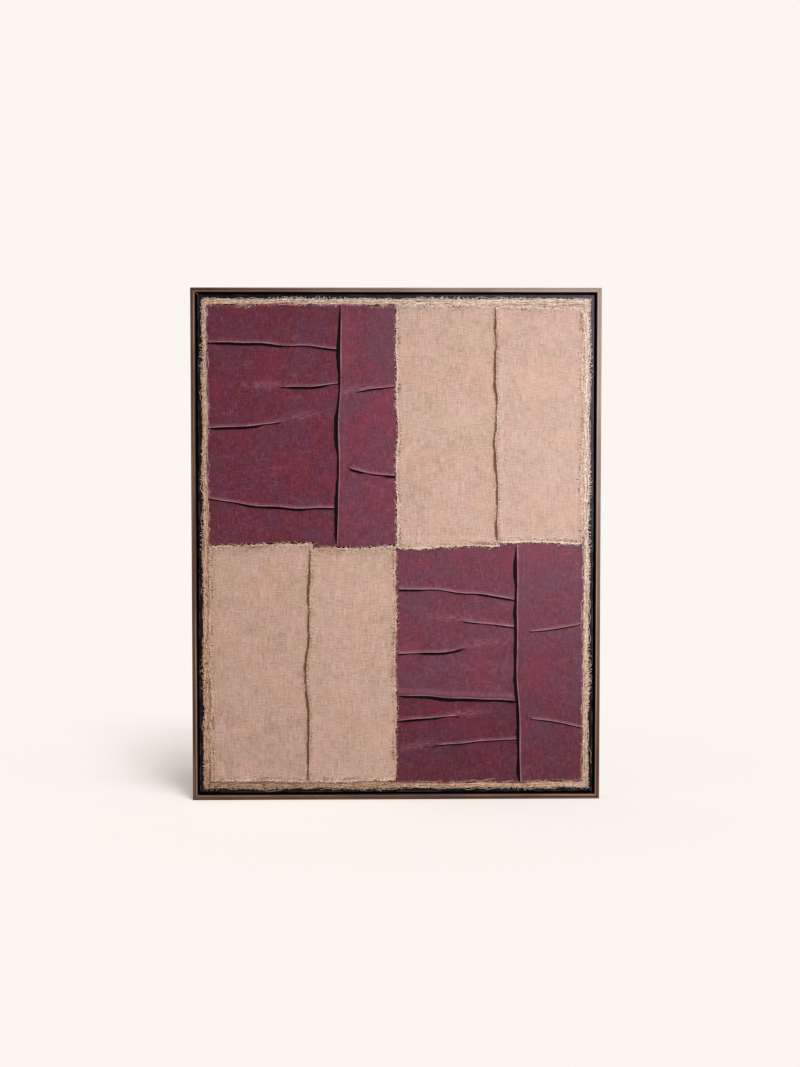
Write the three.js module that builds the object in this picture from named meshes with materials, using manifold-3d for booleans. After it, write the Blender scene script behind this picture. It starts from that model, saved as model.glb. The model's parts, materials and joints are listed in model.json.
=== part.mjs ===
// Framed linen wall hanging: a mitred floater frame, a black cradled panel, and on the panel
// a four-patch of wine and natural linen with tucks, lapped joins and frayed edges.
// Millimetres. The whole is drawn lying on its back, x to the right, y up the panel and z out
// of its face, from the middle of the panel's face. One group then stands it up, so that the
// front looks towards -Y and the origin is under the middle of the bottom rail.

import * as THREE from 'three';
import { mergeVertices } from 'three/addons/utils/BufferGeometryUtils.js';
import Module from 'manifold-3d';

const wasm = await Module();
wasm.setup();

// Frame
const frameWidth = 820;
const frameHeight = 1028;
const frameDepth = 48;
const railWall = 9;
const ledgeReach = 31;
const ledgeThickness = 8;
const arrisRadius = 1.2;
const arrisSteps = 2;

// Clearance between pieces that touch
const fitGap = 0.3;

// Panel: a thin board on a rim of bars, open at the back
const shadowGap = 5;
const panelSetBack = 7;
const panelArris = 1;
const panelBoard = 4;
const panelRim = 38;

// Cloth
const groundMargin = 6.5;
const groundThickness = 1.0;
const wineThickness = 1.0;
const naturalThickness = 1.1;

// Cut edges: spacing of the loose threads, how far they stray, and how far the whole edge wavers
const groundEdge = { pitch: 5.5, stray: 1.9, waver: 1.6 };
const naturalEdge = { pitch: 4.5, stray: 1.9, waver: 2.8 };
const wineEdge = { pitch: 8, stray: 0.9, waver: 2.0 };
const plainPitch = 60;
const waverLength = 170;
const groundSeed = 5;
const seedSpacing = 1000;

// Heights above the panel's face
const groundBack = fitGap;
const wineBack = groundBack + groundThickness + fitGap;
const wineFront = wineBack + wineThickness;
const naturalBack = wineFront + fitGap;
const naturalFront = naturalBack + naturalThickness;

// Raised bands: how deep their root sits in the sheet, the length of one step along them, how
// far they stray from their line, and how unevenly they stand, as shares of their height
const rootDepth = 0.6;
const bandStep = 15;
const bandStray = { size: 0.8, rate: 11 };
const tuckUneven = { size: 0.16, rate: 9 };
const lapUneven = { size: 0.12, rate: 14 };
const leastHeight = 0.05;
const leastBandSteps = 4;

// How far joined solids run into each other
const joinDepth = 0.1;

const panelWidth = frameWidth - 2 * (railWall + shadowGap);
const panelHeight = frameHeight - 2 * (railWall + shadowGap);
const panelDepth = frameDepth - panelSetBack - ledgeThickness - fitGap;

// Wine pieces. Corners go anticlockwise from the lower left, and frayed says which sides are raw
// edges that show, from the bottom side on. The middle pieces are notched, because both wine
// fields run on a little way under the natural cloth.
const winePieces = [
  {
    name: 'wine_upper_left',
    seed: 11,
    corners: [[-376, -16], [-114, -16], [-105, 481], [-378, 479]],
    frayed: [false, false, true, true],
  },
  {
    name: 'wine_upper_middle',
    seed: 12,
    corners: [[-113, -16], [-14, -16], [-14, 0.5], [12, 0.5], [12, 478], [-104, 481]],
    frayed: [false, false, false, false, true, false],
  },
  {
    name: 'wine_lower_middle',
    seed: 13,
    corners: [[-12, -296], [253, -309], [247, 16], [14, 16], [14, -0.5], [-12, -0.5]],
    frayed: [false, false, false, false, false, false],
  },
  {
    name: 'wine_lower_foot',
    seed: 14,
    corners: [[-12, -480], [256, -481], [253, -310], [-12, -297]],
    frayed: [true, false, false, false],
  },
  {
    name: 'wine_lower_right',
    seed: 15,
    corners: [[257, -481], [375, -478], [378, 16], [248, 16]],
    frayed: [true, true, false, false],
  },
];

// Natural pieces: seat is how far the part that lies on the ground cloth is held in from the
// bottom, right, top and left edges. It is wide where the edge lies on wine cloth.
const naturalPieces = [
  {
    name: 'natural_upper_middle',
    seed: 21,
    corners: [[2, -6], [208, -3], [203, 477], [0, 479]],
    frayed: [true, false, true, true],
    seat: [24, 1, 5, 18],
  },
  {
    name: 'natural_upper_right',
    seed: 22,
    corners: [[209, 5], [373, 2], [375, 474], [204, 477]],
    frayed: [true, true, true, false],
    seat: [20, 5, 5, 1],
  },
  {
    name: 'natural_lower_left',
    seed: 23,
    corners: [[-373, -476], [-172, -479], [-167, 3], [-375, -2]],
    frayed: [true, false, true, true],
    seat: [5, 1, 20, 5],
  },
  {
    name: 'natural_lower_middle',
    seed: 24,
    corners: [[-171, -479], [-1, -476], [-2, -3], [-166, -7]],
    frayed: [true, true, true, false],
    seat: [5, 18, 18, 1],
  },
];

// Laps: a folded edge that runs on over the next piece, which lies to the right of its run
const laps = [
  { piece: 'wine_upper_middle', from: [-104.5, 479], to: [-113, 5], bow: 1.5, rise: 1.0 },
  { piece: 'wine_lower_right', from: [248, -6], to: [256.5, -478], bow: -1.5, rise: 1.1 },
  { piece: 'wine_lower_middle', from: [7, -297.5], to: [240, -308.8], bow: 1.2, rise: 0.9 },
  { piece: 'natural_upper_right', from: [204.8, 471], to: [208.7, 10], bow: 1.2, rise: 0.95 },
  { piece: 'natural_lower_middle', from: [-166.0, -12], to: [-170.6, -473], bow: -1.4, rise: 0.92 },
];

// Tucks: a pinch of cloth that leans over to the right of its run. fade is the share of the
// run over which it dies out at its start and at its end.
const tucks = [
  { piece: 'wine_upper_left', from: [-374, 408], to: [-119, 394], bow: 5, rise: 1.0, fade: [0.02, 0.02] },
  { piece: 'wine_upper_left', from: [-374, 238], to: [-196, 256], bow: -4, rise: 0.9, fade: [0.03, 0.6] },
  { piece: 'wine_upper_left', from: [-262, 318], to: [-121, 327], bow: -2, rise: 0.85, fade: [0.6, 0.03] },
  { piece: 'wine_upper_left', from: [-374, 98], to: [-124, 78], bow: -7, rise: 1.1, fade: [0.02, 0.02] },
  { piece: 'wine_upper_middle', from: [-96, 306], to: [-7, 321], bow: 2, rise: 0.9, fade: [0.5, 0.03] },
  { piece: 'wine_upper_middle', from: [-100, 158], to: [-7, 142], bow: -3, rise: 1.0, fade: [0.15, 0.03] },
  { piece: 'wine_lower_middle', from: [7, -86], to: [238, -108], bow: 7, rise: 1.1, fade: [0.02, 0.02] },
  { piece: 'wine_lower_middle', from: [104, -150], to: [239, -163], bow: 2, rise: 0.85, fade: [0.6, 0.03] },
  { piece: 'wine_lower_middle', from: [7, -216], to: [172, -200], bow: -4, rise: 0.9, fade: [0.02, 0.6] },
  { piece: 'wine_lower_foot', from: [7, -352], to: [148, -342], bow: 2, rise: 0.9, fade: [0.03, 0.5] },
  { piece: 'wine_lower_foot', from: [40, -410], to: [242, -390], bow: 5, rise: 1.0, fade: [0.5, 0.02] },
  { piece: 'wine_lower_right', from: [264, -172], to: [372, -154], bow: -3, rise: 0.9, fade: [0.1, 0.03] },
  { piece: 'wine_lower_right', from: [266, -348], to: [370, -368], bow: 3, rise: 1.0, fade: [0.1, 0.03] },
];

// Sections of the raised bands: across is positive over the band's own cloth, to the left of
// its run, and out is the height above that cloth.
const lapSection = [
  { across: 7.5, out: -rootDepth },
  { across: 6.5, out: 0.4 },
  { across: 3.0, out: 1.5 },
  { across: 0.0, out: 2.4 },
  { across: -3.0, out: 2.8 },
  { across: -5.5, out: 2.5 },
  { across: -6.8, out: 1.5 },
  { across: -6.5, out: fitGap },
  { across: 3.0, out: fitGap },
  { across: 3.0, out: -rootDepth },
];
const tuckSection = [
  { across: 3.4, out: -rootDepth },
  { across: 2.6, out: 0.6 },
  { across: 1.2, out: 2.2 },
  { across: -0.6, out: 3.2 },
  { across: -2.2, out: 3.2 },
  { across: -3.1, out: 2.2 },
  { across: -2.6, out: 1.1 },
  { across: -2.2, out: -rootDepth },
];

const woodBronze = { color: 0x5f4838, roughness: 0.5, metalness: 0.25 };
const woodBlack = { color: 0x15141a, roughness: 0.7, metalness: 0 };
const linenNatural = { color: 0xc39e88, roughness: 0.95, metalness: 0 };
const linenWine = { color: 0x6f2b3b, roughness: 0.85, metalness: 0 };

// Turns a closed three.js geometry into a solid that can be joined.
function solidOf(geometry) {
  geometry.deleteAttribute('normal');
  geometry.deleteAttribute('uv');
  const merged = mergeVertices(geometry);
  const mesh = new wasm.Mesh({
    numProp: 3,
    vertProperties: Float32Array.from(merged.attributes.position.array),
    triVerts: Uint32Array.from(merged.index.array),
  });
  return new wasm.Manifold(mesh);
}

// Turns a joined solid back into a three.js geometry.
function geometryOf(solid) {
  const mesh = solid.getMesh();
  const geometry = new THREE.BufferGeometry();
  geometry.setAttribute('position', new THREE.BufferAttribute(mesh.vertProperties, 3));
  geometry.setIndex(new THREE.BufferAttribute(mesh.triVerts, 1));
  geometry.computeVertexNormals();
  return geometry;
}

function namedMesh(name, geometry, finish) {
  const mesh = new THREE.Mesh(geometry, new THREE.MeshStandardMaterial(finish));
  mesh.name = name;
  return mesh;
}

// Joins rings of points, each with the same section, into one closed geometry. The section
// goes anticlockwise as seen from the far end.
function loft(rings, section) {
  const count = section.length;
  const positions = rings.flat().flatMap((point) => point.toArray());
  const indices = [];
  for (let ring = 0; ring < rings.length - 1; ring += 1) {
    for (let side = 0; side < count; side += 1) {
      const here = ring * count + side;
      const next = ring * count + ((side + 1) % count);
      indices.push(here, next, next + count, here, next + count, here + count);
    }
  }
  const lastRing = (rings.length - 1) * count;
  for (const [a, b, c] of THREE.ShapeUtils.triangulateShape(section, [])) {
    indices.push(a, c, b, lastRing + a, lastRing + b, lastRing + c);
  }
  const geometry = new THREE.BufferGeometry();
  geometry.setAttribute('position', new THREE.Float32BufferAttribute(positions, 3));
  geometry.setIndex(indices);
  geometry.computeVertexNormals();
  return geometry;
}

// L-shaped section of a rail: x is the distance in from its outside face, y is out of the panel.
function railSection() {
  const front = panelSetBack;
  const back = panelSetBack - frameDepth;
  const ledgeTop = back + ledgeThickness;
  const shape = new THREE.Shape();
  shape.moveTo(0, back);
  shape.lineTo(ledgeReach, back);
  shape.lineTo(ledgeReach, ledgeTop);
  shape.lineTo(railWall, ledgeTop);
  shape.lineTo(railWall, front - arrisRadius);
  shape.absarc(railWall - arrisRadius, front - arrisRadius, arrisRadius, 0, Math.PI / 2);
  shape.lineTo(arrisRadius, front);
  shape.absarc(arrisRadius, front - arrisRadius, arrisRadius, Math.PI / 2, Math.PI);
  return shape.extractPoints(arrisSteps).shape;
}

// A rail of the given outside length, mitred at both ends.
function mitredRail(length) {
  const section = railSection();
  const mitreShift = fitGap / Math.SQRT2;
  const half = length / 2 - mitreShift;
  const start = section.map((point) => new THREE.Vector3(point.x - half, point.x, point.y));
  const end = section.map((point) => new THREE.Vector3(half - point.x, point.x, point.y));
  return loft([start, end], section);
}

function frameRails() {
  const placings = [
    { name: 'frame_rail_bottom', length: frameWidth, at: [0, -frameHeight / 2], quarterTurns: 0 },
    { name: 'frame_rail_right', length: frameHeight, at: [frameWidth / 2, 0], quarterTurns: 1 },
    { name: 'frame_rail_top', length: frameWidth, at: [0, frameHeight / 2], quarterTurns: 2 },
    { name: 'frame_rail_left', length: frameHeight, at: [-frameWidth / 2, 0], quarterTurns: 3 },
  ];
  return placings.map(({ name, length, at, quarterTurns }) => {
    const rail = namedMesh(name, mitredRail(length), woodBronze);
    rail.rotation.z = quarterTurns * Math.PI / 2;
    rail.position.set(at[0], at[1], 0);
    return rail;
  });
}

function rectangle(width, height) {
  const x = width / 2;
  const y = height / 2;
  return [[-x, -y], [x, -y], [x, y], [-x, y]].map(([px, py]) => new THREE.Vector2(px, py));
}

// A flat plate with the given outline, from height back to height front.
function plate(outline, back, front, holes = []) {
  const shape = new THREE.Shape(outline);
  shape.holes = holes.map((hole) => new THREE.Path(hole));
  const geometry = new THREE.ExtrudeGeometry(shape, { depth: front - back, bevelEnabled: false });
  geometry.translate(0, 0, back);
  return solidOf(geometry);
}

// The board's front arris is eased in a short curve.
function easedBoard() {
  const levels = [{ out: -panelBoard, inset: 0 }];
  for (let step = 0; step <= arrisSteps; step += 1) {
    const turn = (step / arrisSteps) * (Math.PI / 2);
    const inset = panelArris * (1 - Math.cos(turn));
    levels.push({ out: panelArris * (Math.sin(turn) - 1), inset });
  }
  const rings = levels.map(({ out, inset }) => {
    const ring = rectangle(panelWidth - 2 * inset, panelHeight - 2 * inset);
    return ring.map((corner) => new THREE.Vector3(corner.x, corner.y, out));
  });
  return solidOf(loft(rings, rectangle(panelWidth, panelHeight)));
}

// The board and its rim of bars are glued up into one piece, hollow at the back.
function groundPanel() {
  const outside = rectangle(panelWidth, panelHeight);
  const inside = rectangle(panelWidth - 2 * panelRim, panelHeight - 2 * panelRim);
  const board = easedBoard();
  const rim = plate(outside, -panelDepth, -panelBoard + joinDepth, [inside]);
  return namedMesh('ground_panel', geometryOf(board.add(rim)), woodBlack);
}

// One side of a cut outline, from one corner up to, but not including, the next.
function cutSide(from, to, edge, nextRandom) {
  const side = to.clone().sub(from);
  const length = side.length();
  const outward = new THREE.Vector2(side.y, -side.x).divideScalar(length);
  const steps = Math.max(1, Math.round(length / edge.pitch));
  const phase = nextRandom() * 2 * Math.PI;
  const points = [];
  for (let step = 0; step < steps; step += 1) {
    const share = step / steps;
    const wave = edge.waver * Math.sin(phase + (2 * Math.PI * share * length) / waverLength);
    const stray = edge.stray * (2 * nextRandom() - 1);
    const push = step === 0 ? 0 : stray + wave * Math.sin(Math.PI * share);
    points.push(from.clone().addScaledVector(side, share).addScaledVector(outward, push));
  }
  return points;
}

// A hand-cut outline: frayed sides stray and waver, the others are nearly straight.
function cutOutline(corners, frayed, edge, seed) {
  let draw = seed * seedSpacing;
  const nextRandom = () => {
    draw += 1;
    return THREE.MathUtils.seededRandom(draw);
  };
  const straightCut = { pitch: plainPitch, stray: 0, waver: 0 };
  const points = corners.map(([x, y]) => new THREE.Vector2(x, y));
  return points.flatMap((corner, index) => {
    const next = points[(index + 1) % points.length];
    return cutSide(corner, next, frayed[index] ? edge : straightCut, nextRandom);
  });
}

// A slow, uneven swell round 1 along a run.
function swell(share, { size, rate }, start) {
  return 1 + size * Math.sin(rate * share + start);
}

// How high a tuck stands at a share of its run: it dies out at its ends.
function tuckHeight(share, { from, rise, fade }) {
  const fadeIn = THREE.MathUtils.smoothstep(share, 0, fade[0]);
  const fadeOut = THREE.MathUtils.smoothstep(1 - share, 0, fade[1]);
  return Math.max(leastHeight, rise * swell(share, tuckUneven, from[1]) * fadeIn * fadeOut);
}

function lapHeight(share, { from, rise }) {
  return rise * swell(share, lapUneven, from[1]);
}

// A raised band along a hand-laid line, which bows and wavers. place says where a point of
// the section lies above the cloth, for a height at a share of the run.
function bandAlong(line, section, level, placePoint) {
  const from = new THREE.Vector2(...line.from);
  const run = new THREE.Vector2(...line.to).sub(from);
  const left = new THREE.Vector2(-run.y, run.x).normalize();
  const steps = Math.max(leastBandSteps, Math.round(run.length() / bandStep));
  const rings = [];
  for (let step = 0; step <= steps; step += 1) {
    const share = step / steps;
    const stray = bandStray.size * Math.sin(bandStray.rate * share + line.to[1]);
    const shift = (line.bow + stray) * Math.sin(Math.PI * share);
    const centre = from.clone().addScaledVector(run, share).addScaledVector(left, shift);
    rings.push(section.map((point) => {
      const spot = centre.clone().addScaledVector(left, point.across);
      return new THREE.Vector3(spot.x, spot.y, level + placePoint(point.out, share));
    }));
  }
  const flatSection = section.map((point) => new THREE.Vector2(point.across, point.out));
  return solidOf(loft(rings, flatSection));
}

function tuckBand(tuck, level) {
  return bandAlong(tuck, tuckSection, level, (out, share) => {
    return (out + rootDepth) * tuckHeight(share, tuck) - rootDepth;
  });
}

function lapBand(lap, level) {
  return bandAlong(lap, lapSection, level, (out, share) => {
    return out > fitGap ? fitGap + (out - fitGap) * lapHeight(share, lap) : out;
  });
}

// Adds every lap and tuck that belongs to a piece to its flat cloth.
function withBands(cloth, name, level) {
  const lapBands = laps.filter((lap) => lap.piece === name).map((lap) => lapBand(lap, level));
  const tuckBands = tucks.filter((tuck) => tuck.piece === name).map((tuck) => tuckBand(tuck, level));
  return [...lapBands, ...tuckBands].reduce((whole, band) => whole.add(band), cloth);
}

function groundLinen() {
  const size = rectangle(panelWidth - 2 * groundMargin, panelHeight - 2 * groundMargin);
  const corners = size.map((corner) => corner.toArray());
  const outline = cutOutline(corners, [true, true, true, true], groundEdge, groundSeed);
  const cloth = plate(outline, groundBack, groundBack + groundThickness);
  return namedMesh('ground_linen', geometryOf(cloth), linenNatural);
}

function winePiece({ name, seed, corners, frayed }) {
  const cloth = plate(cutOutline(corners, frayed, wineEdge, seed), wineBack, wineFront);
  return namedMesh(name, geometryOf(withBands(cloth, name, wineFront)), linenWine);
}

// The four corners of a piece, held in by a distance from its bottom, right, top and left edges.
function seatOutline(corners, [bottom, right, top, left]) {
  const [southWest, southEast, northEast, northWest] = corners;
  return [
    new THREE.Vector2(southWest[0] + left, southWest[1] + bottom),
    new THREE.Vector2(southEast[0] - right, southEast[1] + bottom),
    new THREE.Vector2(northEast[0] - right, northEast[1] - top),
    new THREE.Vector2(northWest[0] + left, northWest[1] - top),
  ];
}

function naturalPiece({ name, seed, corners, frayed, seat }) {
  const outline = cutOutline(corners, frayed, naturalEdge, seed);
  const upper = plate(outline, naturalBack, naturalFront);
  const lower = plate(seatOutline(corners, seat), wineBack, naturalBack + joinDepth);
  const cloth = upper.add(lower);
  return namedMesh(name, geometryOf(withBands(cloth, name, naturalFront)), linenNatural);
}

const hanging = new THREE.Group();
hanging.add(...frameRails());
hanging.add(groundPanel());
hanging.add(groundLinen());
hanging.add(...winePieces.map(winePiece));
hanging.add(...naturalPieces.map(naturalPiece));
hanging.rotation.x = Math.PI / 2;
hanging.position.set(0, panelSetBack - frameDepth / 2, frameHeight / 2);
hanging.updateMatrixWorld(true);

export default hanging;
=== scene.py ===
import json
import math
import bpy
import numpy as np
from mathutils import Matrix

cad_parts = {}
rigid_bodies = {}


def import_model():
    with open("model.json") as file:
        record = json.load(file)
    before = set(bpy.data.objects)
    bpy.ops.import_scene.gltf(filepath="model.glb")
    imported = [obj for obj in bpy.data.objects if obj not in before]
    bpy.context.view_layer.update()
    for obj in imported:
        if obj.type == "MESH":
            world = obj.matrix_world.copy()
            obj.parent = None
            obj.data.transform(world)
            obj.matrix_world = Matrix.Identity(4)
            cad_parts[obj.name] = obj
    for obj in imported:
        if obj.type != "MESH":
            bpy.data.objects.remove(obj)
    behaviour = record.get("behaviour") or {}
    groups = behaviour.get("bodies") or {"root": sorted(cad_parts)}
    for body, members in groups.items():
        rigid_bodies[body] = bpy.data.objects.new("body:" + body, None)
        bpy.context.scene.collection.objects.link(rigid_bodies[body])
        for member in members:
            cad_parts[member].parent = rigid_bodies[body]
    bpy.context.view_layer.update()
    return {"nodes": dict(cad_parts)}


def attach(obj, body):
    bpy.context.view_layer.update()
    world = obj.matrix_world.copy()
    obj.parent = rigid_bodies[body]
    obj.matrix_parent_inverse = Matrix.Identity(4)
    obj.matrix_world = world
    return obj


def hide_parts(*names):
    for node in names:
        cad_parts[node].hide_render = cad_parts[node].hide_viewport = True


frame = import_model()
nodes = frame["nodes"]
print("frame loaded,", len(nodes), "nodes")

# Cloth is drawn in millimetres on the panel: x to the right, y up from its middle, out from its face.
mm = 0.001
panelFace = 17.0        # the panel's face, in front of the middle of the frame's depth
panelMiddle = 514.0     # the panel's middle above the floor
frameHalf = (0.410, 0.514)


def toRoom(x, y, out):
    return np.stack([x, -(panelFace + out), panelMiddle + y], axis=-1) * mm


def tone(red, green, blue):
    # a colour as a screen shows it, to the linear one that the shaders take
    def linear(c):
        c = c / 255
        return c / 12.92 if c <= 0.04045 else ((c + 0.055) / 1.055) ** 2.4
    return (linear(red), linear(green), linear(blue), 1.0)


# ---- camera
camera = {"lens": 77.5, "sensor": 36.0, "at": (-0.101, -4.616, 0.829), "aim": (0.0077, 0.0, 0.536)}


def placeCamera():
    eye = bpy.data.objects.new("camera", bpy.data.cameras.new("camera"))
    bpy.context.scene.collection.objects.link(eye)
    eye.data.lens = camera["lens"]
    eye.data.sensor_width = camera["sensor"]
    eye.data.sensor_height = camera["sensor"]
    eye.data.sensor_fit = "VERTICAL"
    eye.data.clip_end = 400
    eye.location = camera["at"]
    aim = np.array(camera["aim"]) - np.array(camera["at"])
    eye.rotation_euler = (math.atan2(math.hypot(aim[0], aim[1]), -aim[2]), 0, math.atan2(-aim[0], aim[1]))
    bpy.context.scene.camera = eye


placeCamera()
print("camera placed")


# ---- shader helpers
class Wire:
    # an output of a node; sums with it add Math nodes

    def __init__(self, finish, socket):
        self.finish = finish
        self.socket = socket

    def math(self, operation, first, second):
        return self.finish.node("ShaderNodeMath", {"operation": operation}, {0: first, 1: second})

    def __add__(self, other):
        return self.math("ADD", self, other)

    def __radd__(self, other):
        return self.math("ADD", other, self)

    def __sub__(self, other):
        return self.math("SUBTRACT", self, other)

    def __rsub__(self, other):
        return self.math("SUBTRACT", other, self)

    def __mul__(self, other):
        return self.math("MULTIPLY", self, other)

    def __rmul__(self, other):
        return self.math("MULTIPLY", other, self)

    def __truediv__(self, other):
        return self.math("DIVIDE", self, other)

    def size(self):
        return self.math("ABSOLUTE", self, 0.0)

    def least(self, other):
        return self.math("MINIMUM", self, other)


class Finish:
    # a material with one Principled shader; node() adds any other node

    def __init__(self, name):
        self.material = bpy.data.materials.new(name)
        self.material.use_nodes = True
        self.tree = self.material.node_tree
        self.tree.nodes.clear()
        self.shader = self.tree.nodes.new("ShaderNodeBsdfPrincipled")
        output = self.tree.nodes.new("ShaderNodeOutputMaterial")
        self.tree.links.new(self.shader.outputs["BSDF"], output.inputs["Surface"])

    def plug(self, socket, value):
        if isinstance(value, Wire):
            self.tree.links.new(value.socket, socket)
        else:
            socket.default_value = value

    def node(self, kind, settings=None, inputs=None, out=0):
        made = self.tree.nodes.new(kind)
        for key, value in (settings or {}).items():
            if key == "stops":
                ramp = made.color_ramp
                while len(ramp.elements) < len(value):
                    ramp.elements.new(1.0)
                for element, (place, colour) in zip(ramp.elements, value):
                    element.position = place
                    element.color = colour
            else:
                setattr(made, key, value)
        for key, value in (inputs or {}).items():
            self.plug(made.inputs[key], value)
        return Wire(self, made.outputs[out])

    def surface(self, **sockets):
        # underscores stand for the spaces in a socket's name
        for key, value in sockets.items():
            self.plug(self.shader.inputs[key.replace("_", " ")], value)

    def stretch(self, vector, factors):
        return self.node("ShaderNodeVectorMath", {"operation": "MULTIPLY"}, {0: vector, 1: factors})

    def shift(self, vector, offset):
        return self.node("ShaderNodeVectorMath", {"operation": "ADD"}, {0: vector, 1: offset})

    def noise(self, vector, scale, detail=2.0, rough=0.5, out="Fac"):
        inputs = {"Vector": vector, "Scale": scale, "Detail": detail, "Roughness": rough}
        return self.node("ShaderNodeTexNoise", {}, inputs, out)

    def noiseAt(self, place, offset, scale, detail=3.0, rough=0.6):
        # shifted, so that no two of them show the same pattern
        return self.noise(self.shift(place, (*offset, 0.0)), scale, detail, rough)

    def band(self, value, low, high):
        # 0 below low, 1 above high, smooth between them
        settings = {"interpolation_type": "SMOOTHSTEP"}
        return self.node("ShaderNodeMapRange", settings, {0: value, 1: low, 2: high, 3: 0.0, 4: 1.0})

    def blend(self, share, first, second):
        settings = {"data_type": "RGBA", "clamp_factor": True}
        return self.node("ShaderNodeMix", settings, {0: share, 6: first, 7: second}, 2)

    def bothWays(self, colour, value, near, far, share, above, below):
        # turns to one colour where a noise is above its middle, and to another where it is below
        colour = self.blend(self.band(value, 0.5 + near, 0.5 + far) * share, colour, above)
        return self.blend(self.band(value, 0.5 - near, 0.5 - far) * share, colour, below)

    def upperRight(self, x, z, low, high):
        # grows along the diagonal of the frame, on which the light and the wear change
        return self.band(x * 0.8 + z * 0.7, low, high)

    def shade(self, colour, factor):
        # darkens or lightens a colour by a number
        return self.node("ShaderNodeVectorMath", {"operation": "SCALE"}, {0: colour, "Scale": factor})

    def parts(self, vector):
        split = self.tree.nodes.new("ShaderNodeSeparateXYZ")
        self.plug(split.inputs[0], vector)
        return [Wire(self, socket) for socket in split.outputs]

    def attribute(self, name):
        return self.node("ShaderNodeAttribute", {"attribute_name": name}, {}, "Fac")

    def bump(self, height, depth, strength=1.0, under=None):
        inputs = {"Height": height, "Distance": depth, "Strength": strength}
        if under is not None:
            inputs["Normal"] = under
        return self.node("ShaderNodeBump", {}, inputs)


def paint(piece, finish):
    piece.data.materials.clear()
    piece.data.materials.append(finish.material)


# ---- uneven lines and surfaces, the same on every run
def waver(t, length, seed, parts=5):
    # a slow uneven wave along a line, from about -1 to 1
    draw = np.random.default_rng(seed)
    total = np.zeros_like(t, dtype=float)
    for _ in range(parts):
        wave = length * draw.uniform(0.6, 1.8)
        total = total + np.sin(2 * math.pi * t / wave + draw.uniform(0, 2 * math.pi))
    return total / (0.62 * parts)


def ripple(x, y, length, seed, parts=10):
    # the same over a surface
    draw = np.random.default_rng(seed)
    total = np.zeros_like(x, dtype=float)
    for _ in range(parts):
        wave = length * draw.uniform(0.6, 1.8)
        turn = draw.uniform(0, 2 * math.pi)
        phase = draw.uniform(0, 2 * math.pi)
        total = total + np.sin(2 * math.pi * (x * math.cos(turn) + y * math.sin(turn)) / wave + phase)
    return total / (0.5 * parts)


longestEdge = 620      # to either side of the middle, longer than any half edge


def looseEnds(t, pitch, seed):
    # a new offset for every loose thread of a raw edge, from -1 to 1
    draw = np.random.default_rng(seed)
    ends = np.arange(-longestEdge, longestEdge + 1, pitch)
    return np.interp(t, ends, draw.uniform(-1, 1, len(ends)))


def smooth(t):
    t = np.clip(t, 0, 1)
    return t * t * (3 - 2 * t)


# ---- cloth
# level is the height of the cloth's front above the panel's face. seatLevel is where it lies on the ground cloth.
groundCloth = {"level": 1.3, "thick": 1.0, "pitch": 3.0, "stray": 1.6, "waver": 2.3, "lift": 0.6}
wineCloth = {
    "level": 2.6, "thick": 0.95, "cell": 3.6,
    "pitch": 5.0, "stray": 0.7, "waver": 2.8, "lift": 0.35, "slack": 0.45, "slackLength": 70,
}
naturalCloth = {
    "level": 4.0, "seatLevel": 2.75, "thick": 1.05, "cell": 3.4,
    "pitch": 3.0, "stray": 1.4, "waver": 2.8, "lift": 1.3, "slack": 0.3, "slackLength": 55,
}

# corners run from the lower left, anticlockwise. raw says which edges show, from the bottom one on, and under
# which go under a neighbour's lap. brinks are the stretches in which the natural cloth ends on the wine, and
# get finer rows. A notch is cut where both wine fields run on a little way under the natural cloth.
winePieces = {
    "wine_upper_left": {
        "corners": [(-376, -16), (-114, -16), (-105, 481), (-378, 479)],
        "raw": (0, 0, 1, 1), "under": "right", "brinks": {0: (-9, 12)},
        "seed": 110, "dye": 0.25, "faded": 0.0, "rests": [],
    },
    "wine_upper_middle": {
        "corners": [(-113, -16), (12, -16), (12, 478), (-104, 481)],
        "raw": (0, 0, 1, 0), "brinks": {0: (-9, 9), 1: (-7.5, 6)}, "notch": (-14, 14, -40, 0.5),
        "seed": 120, "dye": 0.9, "faded": 0.02, "rests": ["wine_upper_left_cloth"],
    },
    "wine_lower_middle": {
        "corners": [(-12, -296), (253, -309), (247, 16), (-12, 16)],
        "raw": (0, 0, 0, 0), "under": "right", "brinks": {2: (-12, 10), 3: (-6, 7)}, "notch": (-40, 14, -0.5, 40),
        "seed": 130, "dye": 0.4, "faded": 0.03, "rests": ["wine_lower_foot_cloth"],
    },
    "wine_lower_foot": {
        "corners": [(-12, -480), (256, -481), (253, -310), (-12, -297)],
        "raw": (1, 0, 0, 0), "under": "right top", "brinks": {3: (-6, 7)},
        "seed": 140, "dye": -1.0, "faded": 0.006, "rests": [],
    },
    "wine_lower_right": {
        "corners": [(257, -481), (375, -478), (378, 16), (248, 16)],
        "raw": (1, 1, 0, 0), "brinks": {2: (-6, 10)},
        "seed": 150, "dye": 0.85, "faded": 0.05, "fall": 1.5,
        "rests": ["wine_lower_middle_cloth", "wine_lower_foot_cloth"],
    },
}
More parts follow.
